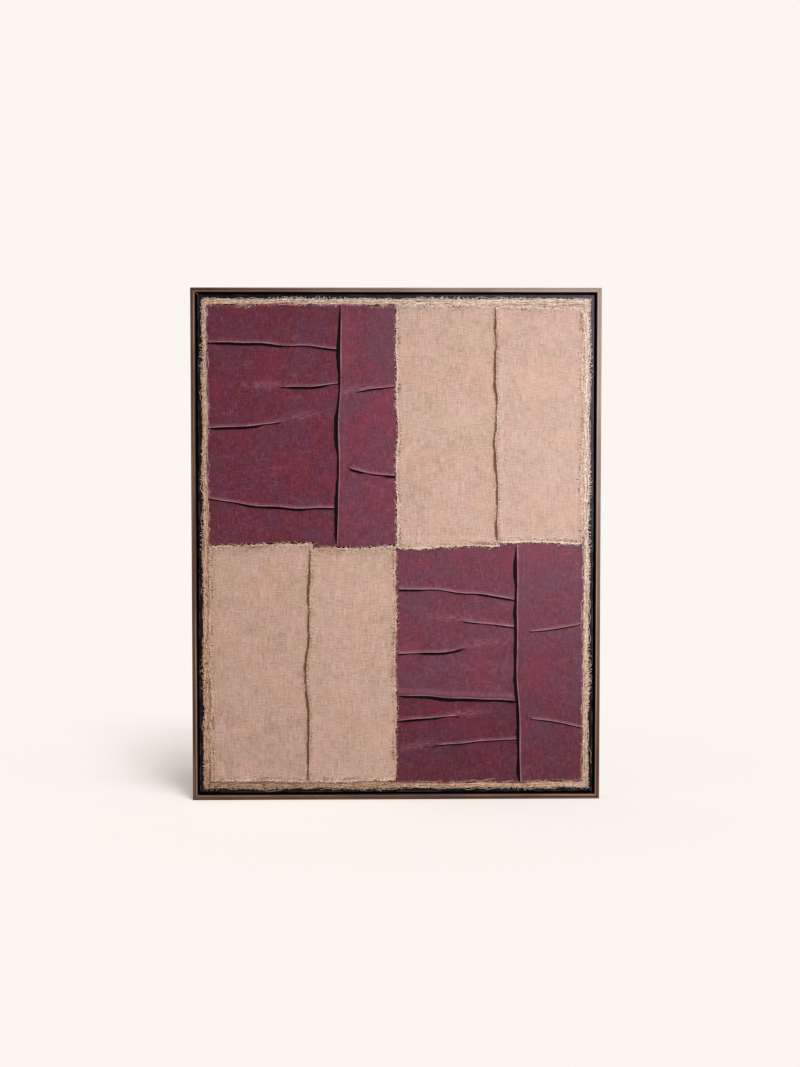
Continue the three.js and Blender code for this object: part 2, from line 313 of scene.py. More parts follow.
# seat: how far in from the bottom, right, top and left the cloth steps down off the wine
naturalPieces = {
    "natural_upper_middle": {
        "corners": [(2, -6), (208, -3), (203, 477), (0, 479)],
        "raw": (1, 0, 1, 1), "seat": (19, None, None, 13), "under": "right",
        "seed": 210, "dye": 0.0, "faded": 0.06, "rests": ["wine_upper_middle_cloth", "wine_lower_middle_cloth"],
    },
    "natural_upper_right": {
        "corners": [(209, 5), (373, 2), (375, 474), (204, 477)],
        "raw": (1, 1, 1, 0), "seat": (14, None, None, None),
        "seed": 220, "dye": -0.05, "faded": 0.11, "rests": ["natural_upper_middle_cloth", "wine_lower_right_cloth"],
    },
    "natural_lower_left": {
        "corners": [(-373, -476), (-172, -479), (-167, 3), (-375, -2)],
        "raw": (1, 0, 1, 1), "seat": (None, None, 15, None), "under": "right",
        "seed": 230, "dye": 0.1, "faded": 0.0, "rests": ["wine_upper_left_cloth"],
    },
    "natural_lower_middle": {
        "corners": [(-171, -479), (-1, -476), (-2, -3), (-166, -7)],
        "raw": (1, 1, 1, 0), "seat": (None, 14, 13, None),
        "seed": 240, "dye": 0.25, "faded": 0.03, "rests": ["natural_lower_left_cloth", "wine_upper_middle_cloth"],
    },
}
brinkStep = 1.4         # between the finer rows

# A lap is the folded edge of a piece, along its left side (along 1) or its bottom (along 0), over its neighbour.
laps = {
    "wine_upper_middle": {"from": (-104.5, 479), "to": (-113, 5), "along": 1, "bow": 1.5, "rise": 1.2},
    "wine_lower_right": {"from": (248, -6), "to": (256.5, -478), "along": 1, "bow": -1.5, "rise": 1.25},
    "wine_lower_middle": {"from": (7, -297.5), "to": (240, -308.8), "along": 0, "bow": 1.2, "rise": 0.95},
    "natural_upper_right": {
        "from": (204.8, 471), "to": (208.7, 10), "along": 1, "bow": 1.2, "rise": 0.85, "stray": 1.6, "kink": 0.9,
    },
    "natural_lower_middle": {
        "from": (-166.0, -12), "to": (-170.6, -473), "along": 1, "bow": -1.4, "rise": 0.8, "stray": 2.0, "kink": 0.9,
    },
}
# A tuck is a pinch of cloth that leans down. fade is the share of its run over which each end dies out, and
# dark says how dark the painted shade in its fold is.
tuckRows = {
    "wine_upper_left": [  # from, to, bow, rise, fade, dark
        ((-380, 408), (-115, 394), 5, 1.0, (0.02, 0.02), 1.0),
        ((-262, 318), (-115, 327), -2, 0.85, (0.6, 0.03), 1.0),
        ((-380, 238), (-196, 256), -4, 0.9, (0.03, 0.6), 1.0),
        ((-380, 98), (-119, 78), -7, 1.1, (0.02, 0.02), 1.0),
    ],
    "wine_upper_middle": [
        ((-96, 306), (-2, 321), 2, 0.8, (0.5, 0.03), 0.6),
        ((-98, 158), (-1, 142), -3, 1.0, (0.15, 0.03), 1.0),
    ],
    "wine_lower_middle": [
        ((2, -86), (241, -108), 7, 1.0, (0.02, 0.02), 0.7),
        ((104, -150), (242, -163), 2, 0.75, (0.6, 0.03), 0.5),
        ((2, -216), (172, -200), -4, 0.9, (0.02, 0.6), 1.0),
    ],
    "wine_lower_foot": [
        ((2, -352), (148, -342), 2, 0.9, (0.03, 0.5), 1.0),
        ((40, -410), (246, -390), 5, 0.85, (0.5, 0.02), 0.4),
    ],
    "wine_lower_right": [
        ((264, -172), (381, -154), -3, 0.7, (0.1, 0.03), 0.3),
        ((266, -348), (380, -368), 3, 0.75, (0.1, 0.03), 0.4),
    ],
}
tucks = [
    {"piece": name, **dict(zip(("from", "to", "bow", "rise", "fade", "dark"), row))}
    for name, rows in tuckRows.items() for row in rows
]

# Sections through a fold. across is positive over its own cloth, out is above it. crest is where wear and light size
# show, with a painted highlight, and crease where painted shade lies dark in the fold.
tuckFold = [
    # across, out, crest, crease
    (-10.2, 0.00, 0.0, 0.00), (-8.2, 0.00, 0.0, 0.6), (-6.4, 0.00, 0.0, 1.0), (-4.6, 0.03, 0.0, 1.0),
    (-3.1, 0.10, 0.0, 1.0), (-2.5, 0.55, 0.0, 1.0), (-2.7, 1.25, 0.0, 1.0), (-3.2, 1.95, 0.0, 0.8),
    (-3.2, 2.60, 0.5, 0.2), (-2.5, 3.05, 1.0, 0.0), (-1.6, 3.10, 0.8, 0.0), (-0.7, 2.65, 0.2, 0.0),
    (0.3, 1.75, 0.0, 0.0), (1.3, 0.85, 0.0, 0.0), (2.4, 0.28, 0.0, 0.0), (3.9, 0.05, 0.0, 0.0), (6.5, 0.00, 0.0, 0.0),
]
lapFold = [
    (-1.2, 0.35, 0.0, 1.0), (-3.8, 0.35, 0.0, 1.0), (-5.3, 0.45, 0.0, 1.0), (-6.3, 0.85, 0.0, 1.0),
    (-6.7, 1.45, 0.0, 0.7), (-6.4, 2.05, 0.5, 0.1), (-5.6, 2.55, 1.0, 0.0), (-4.5, 2.80, 0.7, 0.0),
    (-3.0, 2.85, 0.3, 0.0), (-1.5, 2.70, 0.0, 0.0), (0.0, 2.40, 0.0, 0.0), (1.5, 2.00, 0.0, 0.0),
    (3.0, 1.50, 0.0, 0.0), (4.5, 1.00, 0.0, 0.0), (6.0, 0.55, 0.0, 0.0), (7.5, 0.20, 0.0, 0.0),
    (9.5, 0.03, 0.0, 0.0), (12.0, 0.00, 0.0, 0.0),
]
# In from a raw edge: distance, how much of the loose ends it takes up, how far it curls up, and how bare it is.
rawFold = [
    (0.0, 1.0, 1.0, 1.0), (1.3, 0.75, 0.75, 0.8), (2.8, 0.4, 0.45, 0.55), (4.8, 0.12, 0.18, 0.4), (8.0, 0.0, 0.0, 0.25),
    (12.0, 0.0, 0.0, 0.1), (17.0, 0.0, 0.0, 0.0),
]
underInset = [0.0, 3.0, 5.0, 6.5, 7.8, 9.0, 10.2, 11.4, 12.8, 14.4, 16.5, 20.0]   # along an edge that goes under a lap


def crossing(start, end, along):
    # the line through two corners; along 0 runs across and gives y, along 1 runs up and gives x
    a, b = start[along], start[1 - along]
    slope = (end[1 - along] - b) / (end[along] - a)
    return lambda t: b + slope * (t - a)


def foldLine(fold, along):
    # a hand-laid line that bows and wavers
    base = crossing(fold["from"], fold["to"], along)
    first, last = fold["from"][along], fold["to"][along]

    def share(t):
        return (t - first) / (last - first)

    def line(t):
        s = np.clip(share(t), 0, 1)
        turns = min(1.0, abs(last - first) / 260)      # a short fold strays less
        stray = 0.8 * np.sin(11 * turns * s + fold["to"][1]) + 1.1 * np.sin(19 * turns * s + fold["from"][1])
        stray = turns * (stray + 1.3 * np.sin(6 * turns * s + 2)) * fold.get("stray", 1.0)
        kink = fold.get("kink", 0.0) * waver(t, 50, 90)
        return base(t) + (fold["bow"] + stray) * np.sin(math.pi * s) + kink

    return line, share


def tuckHeight(tuck, s):
    swell = 1 + 0.16 * np.sin(9 * s + tuck["from"][1]) + 0.1 * np.sin(23 * s + tuck["to"][1])
    return tuck["rise"] * swell * smooth(s / tuck["fade"][0]) * smooth((1 - s) / tuck["fade"][1])


def lapHeight(lap, s):
    return lap["rise"] * (1 + 0.12 * np.sin(14 * s + lap["from"][1]) + 0.06 * np.sin(41 * s))


# A stop is one row or column of a sheet: where it runs, how far out it stands, and its crest, crease and bareness.
def stop(at, out=None, crest=None, crease=None, bare=0.0):
    nothing = np.zeros_like
    return {"at": at, "out": out or nothing, "crest": crest or nothing, "crease": crease or nothing, "bare": bare}


def tuckStops(tuck):
    line, share = foldLine(tuck, 0)
    low, high = tuckFold[0][0], tuckFold[-1][0]
    stops = []
    for k, (across, out, crest, crease) in enumerate(tuckFold):
        level = low + (high - low) * k / (len(tuckFold) - 1)

        def height(x):
            return tuckHeight(tuck, share(x))

        def formed(x):
            return smooth(height(x) / 0.45)

        def breadth(x):
            s = np.clip(share(x), 0, 1)
            return np.clip(0.72 + 0.5 * np.sin(7 * s + tuck["from"][1]) + 0.25 * np.sin(19 * s + tuck["to"][1]), 0, 1)

        stops.append(stop(
            lambda x, across=across, level=level: line(x) + level + (across - level) * formed(x),
            lambda x, out=out: out * height(x),
            lambda x, crest=crest: crest * formed(x),
            lambda x, crease=crease, wide=across < -5: crease * formed(x) * (breadth(x) * tuck["dark"] if wide else 1),
        ))
    return stops


def lapStops(lap):
    line, share = foldLine(lap, lap["along"])
    length = abs(lap["to"][lap["along"]] - lap["from"][lap["along"]])
    stops = []
    for across, out, crest, crease in lapFold:
        def raised(t, out=out):
            beyond = np.maximum(-share(t), share(t) - 1) * length
            full = lapHeight(lap, share(t)) * (1 - 0.72 * smooth(beyond / 9))
            return np.where(out > 0.35, 0.35 + (out - 0.35) * full, out)

        stops.append(stop(
            lambda t, across=across: line(t) + across, raised,
            lambda t, crest=crest: crest + np.zeros_like(t),
            lambda t, crease=crease: crease + np.zeros_like(t),
        ))
    return stops


def rawStops(start, end, along, inward, cloth, seed):
    base = crossing(start, end, along)
    first, last = sorted((start[along], end[along]))
    stops = []
    for inset, loose, curl, bare in rawFold:
        def edge(t, inset=inset, loose=loose):
            ends = np.sin(math.pi * np.clip((t - first) / (last - first), 0, 1))
            slow = cloth["waver"] * waver(t, 170, seed) * ends
            quick = cloth["stray"] * loose * looseEnds(t, cloth["pitch"], seed + 1)
            return base(t) + inward * inset + slow + quick

        def lifted(t, curl=curl):
            return cloth["lift"] * curl * (0.45 + 0.55 * waver(t, 48, seed + 2)).clip(0, 1)

        stops.append(stop(edge, lifted, bare=bare))
    return stops if inward > 0 else stops[::-1]


def underStops(start, end, along, inward):
    base = crossing(start, end, along)
    stops = [stop(lambda t, inset=inset: base(t) + inward * inset) for inset in underInset]
    return stops if inward > 0 else stops[::-1]


def plainStops(start, end, along):
    return [stop(crossing(start, end, along))]


def sideStops(name, plan, cloth, side):
    # side 0 to 3 is bottom, right, top, left
    corners = plan["corners"]
    start, end = corners[side], corners[(side + 1) % 4]
    along = side % 2
    inward = 1 if side in (0, 3) else -1
    word = ("bottom", "right", "top", "left")[side]
    lap = laps.get(name)
    if lap and word == ("left" if lap["along"] else "bottom"):
        return lapStops(lap)
    if plan["raw"][side]:
        return rawStops(start, end, along, inward, cloth, plan["seed"] + 3 * side)
    if word in plan.get("under", ""):
        return underStops(start, end, along, inward)
    return plainStops(start, end, along)


def filled(groups, cell, middle):
    # adds even stops between the groups, about a cell apart
    stops = list(groups[0])
    for group in groups[1:]:
        before, after = stops[-1], group[0]
        gap = float(after["at"](middle) - before["at"](middle))
        count = max(1, round(gap / cell))
        for k in range(1, count):
            s = k / count
            stops.append(stop(
                lambda t, a=before, b=after, s=s: (1 - s) * a["at"](t) + s * b["at"](t),
            ))
        stops += group
    return stops


def gridOf(columns, rows, corners):
    # settles where every row crosses every column
    centre = np.mean(np.array(corners, float), axis=0)
    x = np.zeros((len(columns), len(rows))) + centre[0]
    y = np.zeros_like(x) + centre[1]
    for _ in range(4):
        x = np.stack([column["at"](y[i]) for i, column in enumerate(columns)])
        y = np.stack([row["at"](x[:, j]) for j, row in enumerate(rows)], axis=1)
    return x, y


def over(columns, rows, x, y, what):
    # what a fold adds at every crossing
    fromColumns = np.stack([column[what](y[i]) for i, column in enumerate(columns)])
    fromRows = np.stack([row[what](x[:, j]) for j, row in enumerate(rows)], axis=1)
    return np.maximum(fromColumns, fromRows) if what != "out" else fromColumns + fromRows


# lapShade sizes the painted shadow beside a neighbour's lap
lapShade = {
    "edge": 9.2, "wine": (4.4, 2.0, 0.8), "natural": (4.2, 6.0, 1.1),     # width, softness and quick waves of the dark
    "slowWave": 110, "quickWave": 38, "soilAt": 7, "soilWave": 90,
}


def besideLaps(name, x, y):
    # a shadow is painted on the cloth where a neighbour's lap stands over it, and the cloth is soiled a little further
    # out
    dark, soil = np.zeros_like(x), np.zeros_like(x)
    for k, (owner, lap) in enumerate(laps.items()):
        line, share = foldLine(lap, lap["along"])
        t, other = (y, x) if lap["along"] else (x, y)
        across = other - line(t)
        s = share(t)
        inRun = smooth((s + 0.01) / 0.01) * smooth((1.01 - s) / 0.01)
        spread = 6 + 5 * waver(t, lapShade["soilWave"], 60 + k).clip(0, 1)
        soil = np.maximum(soil, np.exp(-np.abs(across + lapShade["soilAt"]) / spread) * inRun)
        if owner == name:
            continue
        taper = smooth((s + 0.02) / 0.10) * smooth((1.02 - s) / 0.06)
        wide, fade, quick = lapShade[owner.split("_")[0]]
        slow = 2.0 * waver(t, lapShade["slowWave"], 40 + k)
        quick = quick * waver(t, lapShade["quickWave"], 50 + k)
        reach = lapShade["edge"] + (wide + slow + quick) * taper
        dark = np.maximum(dark, np.where(across < 0, smooth((across + reach) / fade), 0) * inRun)
    return dark, soil


def rawSides(pieces, cloth):
    # every raw side: its line, its direction and its ends
    for name, plan in pieces.items():
        for side in range(4):
            if not plan["raw"][side]:
                continue
            stops = sideStops(name, plan, cloth, side)
            edge = stops[0] if side in (0, 3) else stops[-1]
            start, end = plan["corners"][side], plan["corners"][(side + 1) % 4]
            along = side % 2
            outward = np.array([(0, -1), (1, 0), (0, 1), (-1, 0)][side], float)
            yield name, plan, side, edge["at"], along, outward, sorted((start[along], end[along]))


naturalShade = {"above": 4.2, "beside": 2.8, "uneven": 1.4, "wave": 60, "softness": 2.2}


def besideNatural(x, y):
    # a thin shadow is painted on the wine beside the natural cloth's raw edges, widest above them
    dark = np.zeros_like(x)
    for name, plan, side, line, along, outward, (t0, t1) in rawSides(naturalPieces, naturalCloth):
        t, other = (y, x) if along else (x, y)
        away = (other - line(t)) * (outward[0] + outward[1])
        inRun = smooth((t - t0 + 3) / 3) * smooth((t1 + 3 - t) / 3)
        width = naturalShade["above" if side == 2 else "beside"]
        width = width + naturalShade["uneven"] * waver(t, naturalShade["wave"], 80 + side)
        dark = np.maximum(dark, np.where(away > -12, smooth((width - away) / naturalShade["softness"]), 0) * inRun)
    return dark


humpShape = {"rise": 2.2, "half": 7.5, "reach": 26, "slope": 14}


def humpOver(x, y):
    # natural cloth rises where it lies over the end of a wine lap
    hump = np.zeros_like(x)
    for owner, lap in laps.items():
        if not owner.startswith("wine"):
            continue
        line, share = foldLine(lap, lap["along"])
        t, other = (y, x) if lap["along"] else (x, y)
        length = abs(lap["to"][lap["along"]] - lap["from"][lap["along"]])
        beyond = np.maximum(-share(t), share(t) - 1) * length
        section = humpShape["rise"] * np.exp(-((other - line(t) + 2) / humpShape["half"]) ** 2)
        hump = np.maximum(hump, section * smooth((humpShape["reach"] - beyond) / humpShape["slope"]))
    return hump


def seatHeight(plan, cloth, x, y):
    # 1 on the wine, 0 where the natural cloth lies on the ground cloth
    onWine = np.zeros_like(x)
    corners = plan["corners"]
    for side, inset in enumerate(plan["seat"]):
        if inset is None:
            continue
        line = crossing(corners[side], corners[(side + 1) % 4], side % 2)
        depth = (y - line(x)) if side % 2 == 0 else (x - line(y))
        depth = depth if side in (0, 3) else -depth
        onWine = np.maximum(onWine, smooth((inset + 4 - depth) / 10))
    return cloth["seatLevel"] + (cloth["level"] - cloth["seatLevel"]) * onWine + humpOver(x, y) * onWine


puckerShape = {"out": 0.9, "length": 13, "reach": 16}


def puckers(name, x, y):
    # short puckers run out from every tuck
    out = np.zeros_like(x)
    for k, tuck in enumerate(tucks):
        if tuck["piece"] != name:
            continue
        line, share = foldLine(tuck, 0)
        far = np.abs(y - line(x))
        size = puckerShape["out"] * smooth(share(x) * 8) * smooth((1 - share(x)) * 8)
        wave = waver(x + 0.35 * (y - line(x)), puckerShape["length"], 700 + k).clip(0, 1)
        out = out + size * wave * np.exp(-((far - 6) / puckerShape["reach"]).clip(0, None)) * smooth(far / 6)
    return out


scuffShape = {"long": 42, "high": 7.5, "above": 3, "slowFade": 0.4}


def scuffs(name, x, y):
    # the cloth is rubbed pale where a tuck dies out slowly
    worn = np.zeros_like(x)
    for tuck in tucks:
        line, share = foldLine(tuck, 0)
        for k, end in enumerate((tuck["from"], tuck["to"])):
            if tuck["piece"] == name and tuck["fade"][k] >= scuffShape["slowFade"]:
                above = y - line(x) - scuffShape["above"]
                far = np.hypot((x - end[0]) / scuffShape["long"], above / scuffShape["high"])
                worn = np.maximum(worn, np.exp(-far ** 2))
    return worn


def newGrid(name, across, up):
    bpy.ops.object.select_all(action="DESELECT")
    bpy.ops.mesh.primitive_grid_add(x_subdivisions=across - 1, y_subdivisions=up - 1, size=1)
    piece = bpy.context.object
    piece.name = name
    piece.data.name = name
    flat = np.zeros(len(piece.data.vertices) * 3)
    piece.data.vertices.foreach_get("co", flat)
    flat = flat.reshape(-1, 3)
    i = np.rint((flat[:, 0] + 0.5) * (across - 1)).astype(int)
    j = np.rint((flat[:, 1] + 0.5) * (up - 1)).astype(int)
    return piece, i, j


def shapeSheet(piece, x, y, out, u, v, marks):
    # puts every vertex in its place, with the cloth's own map in metres and its marks
    mesh = piece.data
    mesh.vertices.foreach_set("co", toRoom(x, y, out).ravel())
    while mesh.uv_layers:
        mesh.uv_layers.remove(mesh.uv_layers[0])
    cloth = mesh.uv_layers.new(name="cloth")
    corner = np.zeros(len(mesh.loops), dtype=np.int32)
    mesh.loops.foreach_get("vertex_index", corner)
    cloth.data.foreach_set("uv", (np.stack([u, v], axis=-1)[corner] * mm).ravel())
    for mark, values in marks.items():
        mesh.attributes.new(mark, "FLOAT", "POINT").data.foreach_set("value", values.astype(np.float32))
    mesh.update()


def cutNotch(piece, notch):
    left, right, low, high = notch
    mesh = piece.data
    bpy.ops.object.mode_set(mode="EDIT")
    bpy.ops.mesh.select_mode(type="FACE")
    bpy.ops.mesh.select_all(action="DESELECT")
    bpy.ops.object.mode_set(mode="OBJECT")
    for face in mesh.polygons:
        x, y = face.center[0] / mm, face.center[2] / mm - panelMiddle
        face.select = left < x < right and low < y < high
    bpy.ops.object.mode_set(mode="EDIT")
    bpy.ops.mesh.delete(type="FACE")
    bpy.ops.object.mode_set(mode="OBJECT")


def thicken(piece, thick):
    solid = piece.modifiers.new("thickness", "SOLIDIFY")
    solid.thickness = thick * mm
    solid.offset = -1
    bpy.ops.object.modifier_apply(modifier=solid.name)
    bpy.ops.object.shade_smooth_by_angle(angle=math.radians(55))


def clothPiece(name, plan, cloth):
    corners = plan["corners"]
    centre = np.mean(np.array(corners, float), axis=0)
    ownTucks = sorted((t for t in tucks if t["piece"] == name), key=lambda t: t["from"][1])
    sides = [sideStops(name, plan, cloth, side) for side in range(4)]
    rowGroups = [sides[0], *[tuckStops(tuck) for tuck in ownTucks], sides[2]]
    columnGroups = [sides[3], sides[1]]
    for side, brink in plan.get("brinks", {}).items():
        # finer rows or columns where the natural cloth ends on this piece
        at = {0: 1, 1: -1, 2: -1, 3: 1}[side]
        fine = [stop(lambda t, place=place: place + 0 * t) for place in np.arange(*brink, brinkStep)]
        (rowGroups if side in (0, 2) else columnGroups).insert(at, fine)
    rows = filled(rowGroups, cloth["cell"], centre[0])
    columns = filled(columnGroups, cloth["cell"], centre[1])
    x, y = gridOf(columns, rows, corners)
    fold = over(columns, rows, x, y, "out")
    base = seatHeight(plan, cloth, x, y) if "seat" in plan else cloth["level"]
    slack = cloth["slack"] * (0.5 + 0.5 * ripple(x, y, cloth["slackLength"], plan["seed"] + 50)).clip(0, 1.4)
    out = base + fold + slack + puckers(name, x, y)
    crest = over(columns, rows, x, y, "crest")
    bare = np.maximum(
        np.array([column["bare"] for column in columns])[:, None] + np.zeros_like(x),
        np.array([row["bare"] for row in rows])[None, :] + np.zeros_like(x),
    )
    # a painted shadow beside a neighbour's lap, and soil
    dark, soil = besideLaps(name, x, y)
    inside = np.interp(bare, [0.0, 0.25, 0.4, 0.55, 0.8], [0.0, 0.5, 0.75, 0.6, 0.0])
    soil = np.maximum(soil, inside * (0.55 + 0.6 * ripple(x, y, 60, plan["seed"] + 60)).clip(0, 1))
    # on the wine, also a painted shadow beside the natural cloth's raw edges
    if "seat" not in plan:
        dark = np.maximum(dark, 0.9 * besideNatural(x, y))
    # the crease mark carries all of this painted shade
    crease = np.maximum(over(columns, rows, x, y, "crease"), dark)
    step = np.hypot(np.diff(x, axis=0), np.diff(y, axis=0)) + 0.4 * np.abs(np.diff(out, axis=0))
    u = corners[0][0] + np.concatenate([[0], np.cumsum(np.median(step, axis=1))])
    step = np.hypot(np.diff(x, axis=1), np.diff(y, axis=1)) + 0.4 * np.abs(np.diff(out, axis=1))
    v = corners[0][1] + np.concatenate([[0], np.cumsum(np.median(step, axis=0))])
    piece, i, j = newGrid(name + "_cloth", len(columns), len(rows))
    marks = {"crest": crest[i, j], "crease": crease[i, j], "bare": bare[i, j], "soil": soil[i, j]}
    # a piece with a fall is darker towards its bottom, and its painted sheen stronger towards its top
    height = plan.get("fall", 0.0) * y[i, j] / 500
    marks["dye"] = plan["dye"] + height
    marks["faded"] = plan["faded"] * (1 + 0.5 * height)
    marks["scuff"] = scuffs(name, x, y)[i, j]
    if "seat" in plan and plan["raw"][1]:
        away = columns[-1]["at"](y) - x
        rust = np.exp(-((away - 2.4) / 1.6) ** 2) * (0.6 + 0.6 * waver(y, 40, plan["seed"] + 70)).clip(0, 1)
        marks["rust"] = rust[i, j]
    shapeSheet(piece, x[i, j], y[i, j], out[i, j], u[i], v[j], marks)
    if "notch" in plan:
        cutNotch(piece, plan["notch"])
    thicken(piece, cloth["thick"])
    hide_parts(name)
    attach(piece, "root")
    return piece


# The ground cloth is seen only as a ragged border, so its rows run round it and its middle is one flat face.
groundSheet = {
    "half": (387.6, 492.0), "points": 900, "seed": 300, "halfWay": 1778, "start": 0.61,
    "rings": [  # inset, loose ends, curl, bareness
        (0.0, 1.0, 1.0, 1.0), (1.5, 0.75, 0.6, 0.8), (3.2, 0.4, 0.2, 0.5), (5.2, 0.1, 0.0, 0.25),
        (8.0, 0.0, 0.0, 0.0), (11.0, 0.0, 0.0, 0.0), (15.0, 0.0, 0.0, 0.0), (22.0, 0.0, 0.0, 0.0),
        (34.0, 0.0, 0.0, 0.0),
    ],
}


def groundEdge(share):
    # a point of the border's rectangle at a share of the way round, its outward direction and the running length
    halfX, halfY = groundSheet["half"]
    run = (share % 1.0) * 4 * (halfX + halfY)
    sides = [
        (2 * halfX, (-halfX, -halfY), (1, 0), (0, -1)), (2 * halfY, (halfX, -halfY), (0, 1), (1, 0)),
        (2 * halfX, (halfX, halfY), (-1, 0), (0, 1)), (2 * halfY, (-halfX, halfY), (0, -1), (-1, 0)),
    ]
    x, y = np.zeros_like(run), np.zeros_like(run)
    outX, outY = np.zeros_like(run), np.zeros_like(run)
    done = 0.0
    for length, start, step, outward in sides:
        here = (run >= done) & (run < done + length + 1e-6)
        along = run - done
        ease = np.sin(math.pi * np.clip(along / length, 0, 1)) ** 0.3
        x = np.where(here, start[0] + step[0] * along, x)
        y = np.where(here, start[1] + step[1] * along, y)
        outX = np.where(here, outward[0] * ease, outX)
        outY = np.where(here, outward[1] * ease, outY)
        done += length
    return x, y, outX, outY, run


def groundPush(run, loose):
    seed = groundSheet["seed"]
    # the run is drawn together so that it fits in the row of loose ends
    ends = looseEnds((run - groundSheet["halfWay"]) / 3, groundCloth["pitch"] / 3, seed + 1)
    quick = groundCloth["stray"] * loose * ends
    return groundCloth["waver"] * waver(run, 150, seed) + quick


def groundPiece():
    count, rings = groundSheet["points"], groundSheet["rings"]
    ringStep = 0.05
    bpy.ops.object.select_all(action="DESELECT")
    bpy.ops.mesh.primitive_circle_add(vertices=count, radius=1, fill_type="NGON")
    piece = bpy.context.object
    piece.name = piece.data.name = "ground_linen_cloth"
    bpy.ops.object.mode_set(mode="EDIT")
    bpy.ops.mesh.select_mode(type="FACE")
    bpy.ops.mesh.select_all(action="SELECT")
    for _ in rings[1:]:
        bpy.ops.mesh.inset(thickness=ringStep)
    bpy.ops.object.mode_set(mode="OBJECT")
    flat = np.zeros(len(piece.data.vertices) * 3)
    piece.data.vertices.foreach_get("co", flat)
    flat = flat.reshape(-1, 3)
    ring = np.rint((1 - np.hypot(flat[:, 0], flat[:, 1])) / ringStep).astype(int).clip(0, len(rings) - 1)
    place = np.rint(np.arctan2(flat[:, 1], flat[:, 0]) / (2 * math.pi) * count).astype(int) % count
    # the circle starts at the right, the border at its lower left corner
    x, y, outX, outY, run = groundEdge((place / count + groundSheet["start"]) % 1.0)
    inset, loose, curl, bare = (np.array([r[k] for r in rings])[ring] for k in range(4))
    halfX, halfY = groundSheet["half"]
    push = groundPush(run, loose) * smooth((40 - inset) / 30)
    x = x * (halfX - inset) / halfX + outX * push
    y = y * (halfY - inset) / halfY + outY * push
    # painted shade on the ground cloth inside the border, fullest beside the wine
    besideWine = np.where(x * y < 0, 1.0, 0.35)
    paintedShade = smooth((inset - 8.2) / 2.5) * besideWine * (0.62 + 0.6 * waver(run, 35, 340)).clip(0, 1)
    slack = 0.25 * (0.5 + 0.5 * ripple(x, y, 45, 320)).clip(0, 1.3) * smooth((34 - inset) / 10)
    out = groundCloth["level"] + slack + groundCloth["lift"] * curl * (0.5 + 0.5 * waver(run, 40, 330)).clip(0, 1)
    # painted shade, darker towards the lower left
    dye = -2.0 * smooth((100 - 0.8 * x - 0.7 * y) / 600)
    shapeSheet(piece, x, y, out, x, y, {"crease": paintedShade, "bare": bare, "soil": bare * 0.3, "dye": dye})
    thicken(piece, groundCloth["thick"])
    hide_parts("ground_linen")
    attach(piece, "root")
    return piece


cloths = {"ground_linen": groundPiece()}
for name, plan in winePieces.items():
    cloths[name] = clothPiece(name, plan, wineCloth)
for name, plan in naturalPieces.items():
    cloths[name] = clothPiece(name, plan, naturalCloth)
print("cloth cut:", {name: len(piece.data.polygons) for name, piece in cloths.items()})


# ---- loose threads
def threadBunch(name, threads, thick):
    # each thread is a list of points on the panel, in millimetres
    curve = bpy.data.curves.new(name, "CURVE")
    curve.dimensions = "3D"
    curve.bevel_depth = thick * mm / 2
    curve.bevel_resolution = 0
    curve.use_fill_caps = True
    for points in threads:
        spline = curve.splines.new("POLY")
        spline.points.add(len(points) - 1)
        room = toRoom(points[:, 0], points[:, 1], points[:, 2])
        spline.points.foreach_set("co", np.concatenate([room, np.ones((len(room), 1))], axis=1).ravel())
    piece = bpy.data.objects.new(name, curve)
    bpy.context.scene.collection.objects.link(piece)
    bpy.ops.object.select_all(action="DESELECT")
    piece.select_set(True)
    bpy.context.view_layer.objects.active = piece
    bpy.ops.object.convert(target="MESH")
    piece = bpy.context.object
    piece.data.name = name
    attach(piece, "root")
    return piece


def shortThread(draw, base, outward, look, high, low):
    # from a little inside the edge to a little outside it, curling down at its end
    sideways = np.array([-outward[1], outward[0]])
    length = draw.uniform(*look["length"])
    lean = draw.normal(0, look["lean"])
    curl = draw.normal(0, look["curl"])
    inside = draw.uniform(*look["inside"])
    steps = np.linspace(0, 1, look["points"])
    reach = (steps * length - inside)[:, None] * outward
    sway = (lean * steps + curl * steps ** 2)[:, None] * sideways * length
    lift = high + (low - high) * smooth((steps * length - inside) / 2.2) + look["arch"] * np.sin(math.pi * steps)
    spots = np.array(base) + reach + sway
    return np.column_stack([spots, lift])


def flatThread(middle, turn, length, bend, look):
    # a short broken thread that lies on the cloth
    steps = np.linspace(-0.5, 0.5, look["points"])
    way = np.array([math.cos(turn), math.sin(turn)])
    sideways = np.array([-way[1], way[0]])
    return middle + length * (steps[:, None] * way + (bend * (steps ** 2 - 0.1))[:, None] * sideways), steps


def basePoint(line, along, t):
    # the point of an edge or a seam at t
    other = float(line(np.array([t]))[0])
    return np.array((other, t) if along else (t, other))


def waverAt(t, length, seed):
    return float(waver(np.array([t]), length, seed)[0])


def longThread(draw, line, t0, t1, along, offset, high, look):
    t = np.arange(t0, t1, look["step"])
    wander = look["wander"] * waver(t, look["wave"], int(draw.integers(1 << 30))) + offset
    sway = look["wander"] * 0.3 * waver(t, look["wave"] / 4, int(draw.integers(1 << 30)))
    other = line(t) + wander + sway
    lift = high + look["arch"] * waver(t, 22, int(draw.integers(1 << 30))).clip(0, 1)
    x, y = (other, t) if along else (t, other)
    return np.column_stack([x, y, lift])


